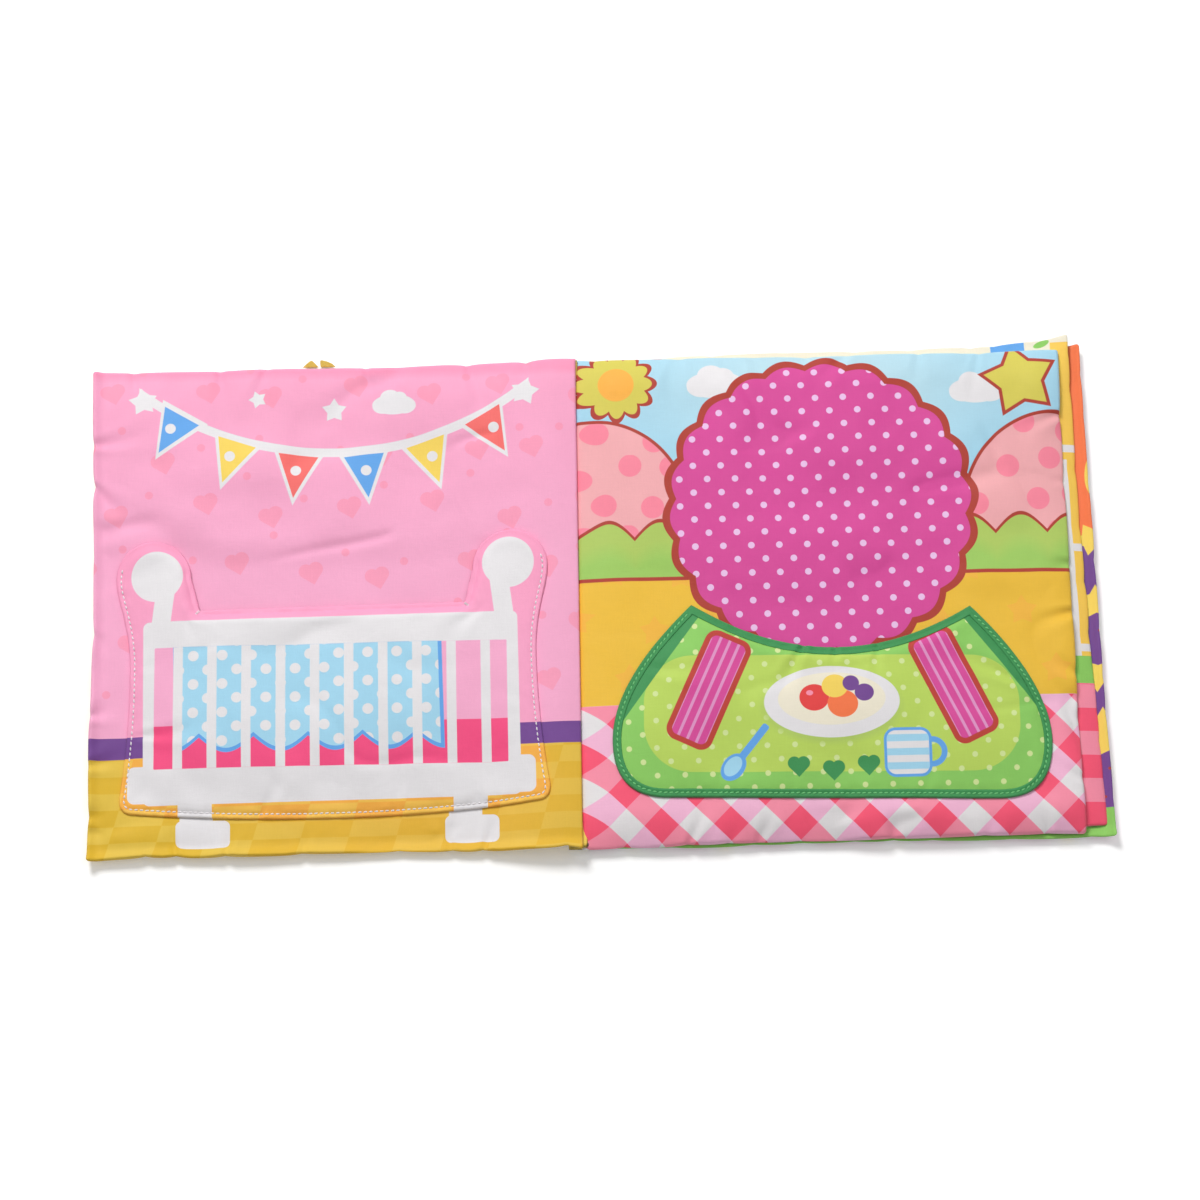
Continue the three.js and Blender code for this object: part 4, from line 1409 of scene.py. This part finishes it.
# Repeats what it is given in rows, each second row moved along
def makeRepeatGroup():
    group, given, end = newGroup("shape_repeat", "ShaderNodeTree", {
        "Point": (0, 0, 0), "Pitch X": 10, "Pitch Y": 10, "Stagger": 0.5, "Scatter": 0,
    }, {"Local": "Vector"})
    x, y = planeOf(group, given["Point"])
    up = y / given["Pitch Y"]
    row = up.step("FLOOR")
    across = x / given["Pitch X"] + row.step("FLOORED_MODULO", 2) * given["Stagger"]
    column = across.step("FLOOR")
    local = pointAt(group, (across - column - 0.5) * given["Pitch X"], (up - row - 0.5) * given["Pitch Y"])
    sockets = {"Vector": pointAt(group, column, row)}
    chance = addNode(group, "ShaderNodeTexWhiteNoise", sockets, noise_dimensions="2D").outputs["Color"]
    spread = scaled(group, vectorCalc(group, "SUBTRACT", chance, (0.5, 0.5, 0)), given["Scatter"])
    moved = vectorCalc(group, "ADD", local, spread)
    feed(group, end, 0, vectorCalc(group, "MULTIPLY", moved, (1, 1, 0)))
    return group


placeGroup = makePlaceGroup()
repeatGroup = makeRepeatGroup()


# What a form's words set in its shape group
def sizeSockets(form):
    across, up = form.get("half", (form.get("halfWidth"), None))
    sockets = {"Half Width": across, "Half Height": up}
    words = ("round", "radius", "count", "depth", "size", "height", "width", "scallop", "swing", "wave",
             "slope", "pitch", "share", "soft")
    sockets.update({word.title(): form.get(word) for word in words})
    return {label: value for label, value in sockets.items() if value is not None}


def maskOf(tree, place, form, known):
    if id(form) in known:
        return known[id(form)]
    point = place
    if "repeat" in form:
        start = localPoint(tree, point, form.get("from", (0, 0)), 0)
        labels = ("Pitch X", "Pitch Y", "Stagger", "Scatter")
        point = addGroup(tree, repeatGroup, {"Point": start, **dict(zip(labels, form["repeat"]))})
    point = localPoint(tree, point, form.get("at", (0, 0)), form.get("turn", 0))
    mask = addGroup(tree, shapes[form["shape"]], {"Point": point, **sizeSockets(form)}).outputs[0]
    for other in form.get("inside", ()):
        mask = calc(tree, "MULTIPLY", mask, maskOf(tree, place, other, known))
    for other in form.get("outside", ()):
        mask = calc(tree, "MULTIPLY", mask, calc(tree, "SUBTRACT", 1, maskOf(tree, place, other, known)))
    if "strength" in form:
        mask = calc(tree, "MULTIPLY", mask, form["strength"])
    known[id(form)] = mask
    return mask


def localPoint(tree, point, middle, turn):
    if middle == (0, 0) and turn == 0:
        return point
    return addGroup(tree, placeGroup, {0: point, "Middle": (*middle, 0), "Turn": math.radians(turn)})


# A print: a ground ink, then one ink over another
def printedCloth(name, ground, layers, **finish):
    material, tree, shader, place = startMaterial(name)
    known = {}
    colour = addInk(tree, ground)
    for form in layers:
        colour = mixed(tree, maskOf(tree, place, form, known), colour, ink(form["ink"]))
    finishCloth(tree, shader, place, colour, **finish)
    return material


# Inked shapes with a border are laid twice, the border first
def bordered(borderInk, border, form):
    wide = dict(form, ink=borderInk)
    grown = {"half": border, "round": border, "radius": border, "size": border * 2.4}
    for word in grown.keys() & form.keys():
        wide[word] = grow(form[word], grown[word])
    return [wide, form]


def grow(size, more):
    return tuple(each + more for each in size) if isinstance(size, tuple) else size + more


# Words for the prints: a shape, its middle, its sizes and its ink

def shape(kind, at, inkName=None, **more):
    return dict({"shape": kind, "at": at}, **({"ink": inkName} if inkName else {}), **more)


def spot(at, half, inkName, **more):
    return shape("spot", at, inkName, half=half, **more)


def bar(at, half, roundness, inkName, **more):
    return shape("bar", at, inkName, half=half, round=roundness, **more)


def below(level, **more):
    return shape("edge", (0, level), **more)


# A shape in staggered rows: the pitch along and up, and how far each is scattered
def rows(kind, across, up, scatter, inkName, **more):
    return {"shape": kind, "repeat": (across, up, 0.5, scatter), "ink": inkName, **more}


def cloud(x, y, size):
    puffs = [(0, 0, 1.25, 0.62), (-0.62, -0.1, 0.62, 0.46), (0.66, -0.08, 0.66, 0.5), (-0.2, 0.42, 0.58, 0.5),
             (0.34, 0.36, 0.46, 0.42)]
    return [spot((x + a * size, y + b * size), (w * size, h * size), "white") for a, b, w, h in puffs]


def gingham(x, y, pitch, turn, inside, dyes):
    across, up = (shape("stripes", (x, y), dye, turn=turn + more, pitch=pitch, share=0.5, inside=inside)
                  for dye, more in zip(dyes, (0, 90)))
    return [across, up, dict(across, inside=[*inside, up], ink=dyes[2])]


# Left page: pink wall with a bunting, a purple skirting and a yellow checked floor

def checkedFloor(floor, inkName, strength):
    across = shape("stripes", (-200, -80), inkName, pitch=42, share=0.5, turn=-16, inside=[floor])
    up = shape("stripes", (0, -73), inkName, pitch=15.4, share=0.5, turn=90.5, inside=[floor])
    return [dict(across, outside=[up], strength=strength), dict(up, outside=[across], strength=strength)]


def frontCoverPrint():
    floor = below(-68, slope=-0.012, ink="gold")
    faint = 0.62
    layers = [
        shape("edge", (0, 60), "rose", soft=90, turn=180, strength=0.2),
        # painted shade: a darker rose band along the top hem, where the turned hem falls into shade
        shape("edge", (0, 110.5), "rose", soft=4, turn=179.3, strength=0.5),
        rows("heart", 36, 29, 12, "blush", turn=14, size=9.5, strength=faint),
        dict(rows("spot", 36, 29, 20, "blush", half=(1.9, 1.9), strength=faint), **{"from": (16, 10)}),
        # white garland with pennants
        shape("ring", (-116, 224), "white", radius=150, width=4.4,
              inside=[bar((-116, 90), (92, 30), 0.5, None)]),
    ]
    flags = [(-193, 84, -31, "blue"), (-165, 69.6, -19, "sun"), (-134, 62, -7, "coral"),
             (-101, 61.5, 6, "blue"), (-70, 68, 18, "sun"), (-41, 81, 30, "coral")]
    for x, y, turn, dye in flags:
        layers += [shape("pennant", (x, y), "white", turn=turn, halfWidth=12.4, height=27),
                   shape("pennant", (x, y + 0.6), dye, turn=turn, halfWidth=9.4, height=21),
                   spot((x, y + 3.4), (2.5, 2.5), "white")]
    for x, y, size, turn in ((-206, 101, 7, 8), (-26, 101, 7, -12), (-116, 95, 6, 0), (-152, 101, 4.4, 20)):
        layers.append(shape("star", (x, y), "white", radius=size, turn=turn))
    layers += cloud(-88, 97, 8)
    # skirting and floor
    layers += [below(-58, slope=-0.012, ink="purple"), floor, *checkedFloor(floor, "ochre", 0.6)]
    layers.append(spot((-70, -92), (70, 30), "amber", soft=40, inside=[floor], strength=0.3))
    for x in (-176.5, -53.5):
        layers += [bar((x - 3, -100), (7.6, 8), 1, "white"), bar((x, -106.2), (12.4, 6.4), 3, "white")]
    return printedCloth("pink_page_print", "pink", layers)


def backOfCoverPrint():
    badge = shape("petals", (-115, 4), "pink", radius=62, count=18, depth=0.07)
    heart = shape("heart", (-115, 0), "coral", size=58)
    dots = rows("spot", 19, 9.5, 0, "cream", half=(2.3, 2.3))
    layers = [dots, *bordered("brown", 2.2, badge), *bordered("white", 3, heart)]
    return printedCloth("cover_print", "sun", layers)


# Crib pocket: white rails and slats over a dotted quilt

def cribPrint():
    floor = below(-68, slope=-0.012, ink="amber")
    windows = bar((-117.7, -47.5), (81.3, 28.5), 0.5, "pink")
    layers = [shape("edge", (0, 6), "pink", soft=60, strength=0.4), below(-58, slope=-0.012, ink="purple"),
              floor, *checkedFloor(floor, "sun", 0.45)]
    posts = [
        ((-195.4, -2), (4.4, 13), 2, -7), ((-38.2, 0), (4.4, 13), 2, 7),
        ((-117.5, -49), (86.6, 43), 3, 0.5), ((-117.5, -82.5), (93.6, 8.6), 3.4, 0.4),
        ((-180, -96), (7.8, 8), 1, 0), ((-54, -95), (7.8, 8), 1, 0),
    ]
    layers += [bar(at, half, roundness, "white", turn=turn) for at, half, roundness, turn in posts]
    layers += [spot(at, (12.1, 12.1), "white") for at in ((-198.3, 15.1), (-35.2, 18.1))]
    scallops = shape("edge", (-128, -62), scallop=-7, wave=25)
    quilt = bar((-128, -38), (62, 42), 6, "blue", turn=1.2, inside=[windows], outside=[scallops])
    fill = dict(quilt, half=(60.2, 40), ink="lightBlue", outside=[dict(scallops, at=(-128, -60))])
    layers += [
        windows,
        shape("edge", (0, -56), "hotPink", inside=[windows]),
        quilt, fill,
        rows("spot", 13.4, 6.7, 0, "white", half=(2.5, 2.5), inside=[fill]),
        shape("stripes", (-46.3, -50), "white", pitch=15.74, share=0.28, inside=[windows]),
    ]
    return printedCloth("crib_print", "pocketPink", layers, crumple=0.2)


# Right page: hills and sky, a scalloped hedge, a yellow wall and a gingham cloth

checkDyes = ("checkPink", "checkPale", "checkRed")


def secondLeafPrint():
    wall = below(7.2, ink="yellow")
    table = below(-51.5, slope=-0.004, ink="checkWhite")
    flower = shape("petals", (17, 103), "lemon", radius=17, count=12, depth=0.2)
    layers = [
        spot((112, 104), (90, 40), "paleSky", soft=60, strength=0.8),
        *cloud(64, 102, 11), *cloud(186, 96, 10),
        *bordered("brown", 2.4, flower), spot((17, 103), (8.4, 8.4), "amber"),
        *bordered("brown", 3, shape("star", (207, 101), "lemon", radius=17, turn=10)),
    ]
    for x in (6, 222):
        hill = spot((x, 34), (44, 50), "shell")
        layers += bordered("brown", 1.6, hill)
        layers.append(rows("spot", 22, 17, 8, "petal", half=(5.4, 5.4), inside=[hill]))
    rosette = shape("petals", (111, 41), "magenta", radius=70.5, count=22, depth=0.045, turn=4)
    layers += [
        below(28, scallop=8.6, wave=24, ink="brown"), below(26.2, scallop=8.6, wave=24, ink="moss"),
        below(16, scallop=6, wave=24, ink="leaf", soft=9, strength=0.5),
        dict(wall, at=(0, 9), ink="brown"), wall,
        rows("star", 33, 25, 9, "amber", radius=7.4, strength=0.5, inside=[wall]),
        table, *gingham(112, -60, 22.4, 45, [table], checkDyes),
        *bordered("brown", 3.6, rosette),
        rows("spot", 13, 6.5, 0, "lilac", half=(1.55, 1.55), inside=[rosette]),
    ]
    return printedCloth("sky_page_print", "sky", layers)


def backOfSecondPrint():
    layers = [
        {"shape": "stripes", "pitch": 18, "share": 0.5, "turn": 90, "ink": "leaf"},
        rows("petals", 44, 36, 4, "sun", radius=8, count=6, depth=0.3),
        rows("spot", 44, 36, 4, "orange", half=(2.8, 2.8)),
    ]
    return printedCloth("green_page_print", "paleLime", layers)


# Tray pocket: dotted green cloth laid with a plate, a cup, a spoon and two napkins

def trayPrint():
    layers = [bar((112, -58), (86, 27), 22, "lime", turn=-1),
              rows("spot", 12.6, 6.3, 0, "paleLime", half=(1.3, 1.3))]
    for x, turn in ((50.3, -126.9), (174.2, 126.9)):     # dark corners
        layers.append(shape("edge", (x, -14), "green", turn=turn))
    for x, turn in ((56, -25), (168, 25)):
        napkin = bar((x, -46), (8.5, 25), 3, "magenta", turn=turn)
        lines = shape("stripes", (x, -46), "lilac", pitch=4.4, share=0.3, turn=turn, inside=[napkin],
                      strength=0.5)
        layers += [*bordered("belt", 2.6, napkin), lines]
    layers.append(spot((112, -55.6), (31.4, 16.4), "moss", soft=3))
    plate = [((112, -53), (31, 16.6), "white"), ((112, -51.6), (24.6, 12.2), "cream"),
             ((104, -51), (6.8, 6.2), "red"), ((117, -54), (7, 6.4), "orange"),
             ((113.6, -45.8), (6, 5.4), "sun"), ((127, -49), (4.4, 4), "purple"),
             ((121, -44.6), (3.8, 3.6), "purple"), ((102, -48.8), (1.6, 1.2), "blush")]
    layers += [spot(*each) for each in plate]
    cup = bar((146, -77), (9.6, 10), 4, "white")
    layers += [
        bar((75, -71.6), (1.7, 11), 1.2, "blue", turn=-40),
        spot((66.2, -82), (5, 7), "blue", turn=-40), spot((66, -81.6), (3.4, 5.2), "lightBlue", turn=-40),
        shape("ring", (157, -77), "blue", radius=5.6, width=2.6),
        *bordered("blue", 1.3, cup),
        {"shape": "stripes", "pitch": 6.4, "share": 0.5, "turn": 90, "ink": "lightBlue", "inside": [cup]},
    ]
    layers += [shape("heart", at, "green", size=8.4) for at in ((96, -83), (112, -85), (128, -83))]
    return printedCloth("tray_print", "leaf", layers, crumple=0.2)


# The edges of the third leaf and the back cover show: yellow, green and straight gingham, then
# orange, purple and green

def thirdLeafPrint():
    green = below(-32, ink="leaf")
    check = below(-45, ink="checkWhite")
    layers = [
        shape("stripes", (0, 68), "white", pitch=48, share=0.075, turn=90, inside=[below(100)]),
        bar((227, 12.3), (1.8, 50.3), 0.5, "white", turn=0.9),
        spot((110, 40), (60, 50), "sky"), green, check,
        shape("edge", (0, 120.6), "cream", turn=180),
        shape("edge", (0, 115.5), "cream", turn=180, inside=[shape("edge", (223, 0), turn=-90)]),
        bar((203, 120), (8, 4), 1, "blue"), spot((219, 120), (4, 1.6), "leaf", turn=24),
        *gingham(231, -62, 22, 0, [check], checkDyes),
    ]
    return printedCloth("yellow_page_print", "honey", layers)


def backOfThirdPrint():
    layers = [rows("spot", 30, 15, 0, "white", half=(4, 4)), below(-50, scallop=6, wave=30, ink="blue")]
    return printedCloth("dotted_page_print", "sky", layers)


def backCoverPrint():
    purple = below(24, ink="purple")
    stars = rows("star", 26, 30, 4, "sun", radius=8.5, inside=[purple])
    layers = [
        spot((239, 54), (3, 9), "sun"), spot((239.4, 108), (2, 7), "sun"), purple,
        dict(stars, **{"from": (4, 9)}),
        rows("spot", 13, 15, 6, "brown", half=(0.7, 0.7), inside=[purple]),
    ]
    for x, y in ((237, 24), (239.4, -6), (236.4, -41), (239.4, -72)):
        layers.append(shape("star", (x, y), "sun", radius=8, turn=y))
    layers.append(below(-103, ink="leaf"))
    return printedCloth("bright_page_print", "orange", layers)


def outsideBackPrint():
    layers = [rows("petals", 40, 34, 4, "white", radius=9, count=5, depth=0.38),
              rows("spot", 40, 34, 4, "sun", half=(3, 3))]
    return printedCloth("back_cover_print", "dustyPink", layers)


def dress(made, *cloths):
    for cloth in cloths:
        made.data.materials.append(cloth)


dress(leafObjects["frontCover"], frontCoverPrint(), backOfCoverPrint())
dress(leafObjects["secondLeaf"], secondLeafPrint(), backOfSecondPrint())
dress(leafObjects["thirdLeaf"], thirdLeafPrint(), backOfThirdPrint())
dress(leafObjects["backCover"], backCoverPrint(), outsideBackPrint())
dress(cribFace, cribPrint())
dress(trayFace, trayPrint())
sewnCloths = [
    ([trayTape], "green_tape", "green", {"weave": 0.03, "crumple": 0.08, "size": 5}),
    ([cribLining, trayLining], "pale_lining", "dustyPink", {"weave": 0.03, "crumple": 0.1}),
    (margins, "seam_margin", "clothWhite", {"weave": 0.05, "crumple": 0.06, "size": 6, "pitch": 0.6}),
    ([wrap], "cover_cloth", "sun", {"crumple": 0.1}),
    (ribbonObjects.values(), "gold_ribbon", "ribbonGold",
     {"weave": 0.06, "pitch": 0.7, "crumple": 0.05, "size": 4, "sheen": 0.3, "gloss": 0.6}),
]
for pieces, name, inkName, finish in sewnCloths:
    cloth = plainCloth(name, inkName, pagePlace, **finish)
    for made in pieces:
        dress(made, cloth)


# The padding and the crinkle film keep the CAD model's shapes, inside the leaves

def crinkleFilm():
    material, tree, shader, place = startMaterial("crinkle_film", objectPlace)
    facets = addNode(tree, "ShaderNodeTexVoronoi", {"Vector": place, "Scale": 0.16}, voronoi_dimensions="2D",
                     feature="F1").outputs["Distance"]
    creases = addNode(tree, "ShaderNodeTexNoise", {"Vector": place, "Scale": 0.3}, noise_dimensions="2D")
    addBump(tree, shader, calc(tree, "ADD", facets, creases), 0.6 * mm)
    feed(tree, shader, "Base Color", mixed(tree, facets, ink("film"), ink("white")))
    feed(tree, shader, "Roughness", 0.22)
    return material


hiddenCloths = {
    "padding": plainCloth("soft_padding", "clothWhite", weave=0.05, pitch=1.1, crumple=0.5, size=5, sheen=0.4,
                          gloss=0.1),
    "crinkle_film": crinkleFilm(),
}
for stem in ("front_cover", "second_leaf", "third_leaf", "back_cover"):
    for word, cloth in hiddenCloths.items():
        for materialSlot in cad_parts[f"{stem}_{word}"].material_slots:
            materialSlot.material = cloth
print("prints and cloths made")


def standFor(made, body, *nodes):
    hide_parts(*nodes)
    if body:
        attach(made, body)


for node, made in zip(marginNodes, margins):
    standFor(made, "back_cover", node)
standFor(wrap, "back_cover", "spine_wrap")
for name, made in ribbonObjects.items():
    standFor(made, ribbons[name]["body"], name)
sewnPieces = [
    (cribStitches, "front_cover", "crib_print"), (cribTacks, "front_cover", "crib_print"),
    (trayStitches, "second_leaf", "green_binding"), (spineStitches, "back_cover", "page_print_yellow"),
]
for made, body, slotName in sewnPieces:
    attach(made, body)
standFor(trayTape, "second_leaf", "tray_pocket_binding")
pocketPieces = [
    (cribFace, "crib_pocket_face", "front_cover", "front_cover_cloth", [cribStitches, cribTacks]),
    (cribLining, "crib_pocket_lining", "front_cover", "front_cover_cloth", []),
    (trayFace, "tray_pocket_face", "second_leaf", "second_leaf_cloth", [trayTape, trayStitches]),
    (trayLining, "tray_pocket_lining", "second_leaf", "second_leaf_cloth", []),
]
for made, node, body, under, trim in pocketPieces:
    standFor(made, body, node)
    low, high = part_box(node)
    size = (high.x - low.x, high.y - low.y)
    area = min(made["flatArea"], size[0] * size[1])
    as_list(trim)

# Each leaf's cloth stands for its panels, which are hidden; the back cover's cloth goes with the back cover's
# body, and the others keep their place
for leafName, made in leafObjects.items():
    stem = leafCloth[leafName]["stem"]
    panels = ("back", "front") if stem.endswith("leaf") else ("outer", "inner")
    standFor(made, None, *(f"{stem}_{side}_panel" for side in panels))
    if leafName == "backCover":
        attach(made, stem)
        continue
    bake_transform(made)
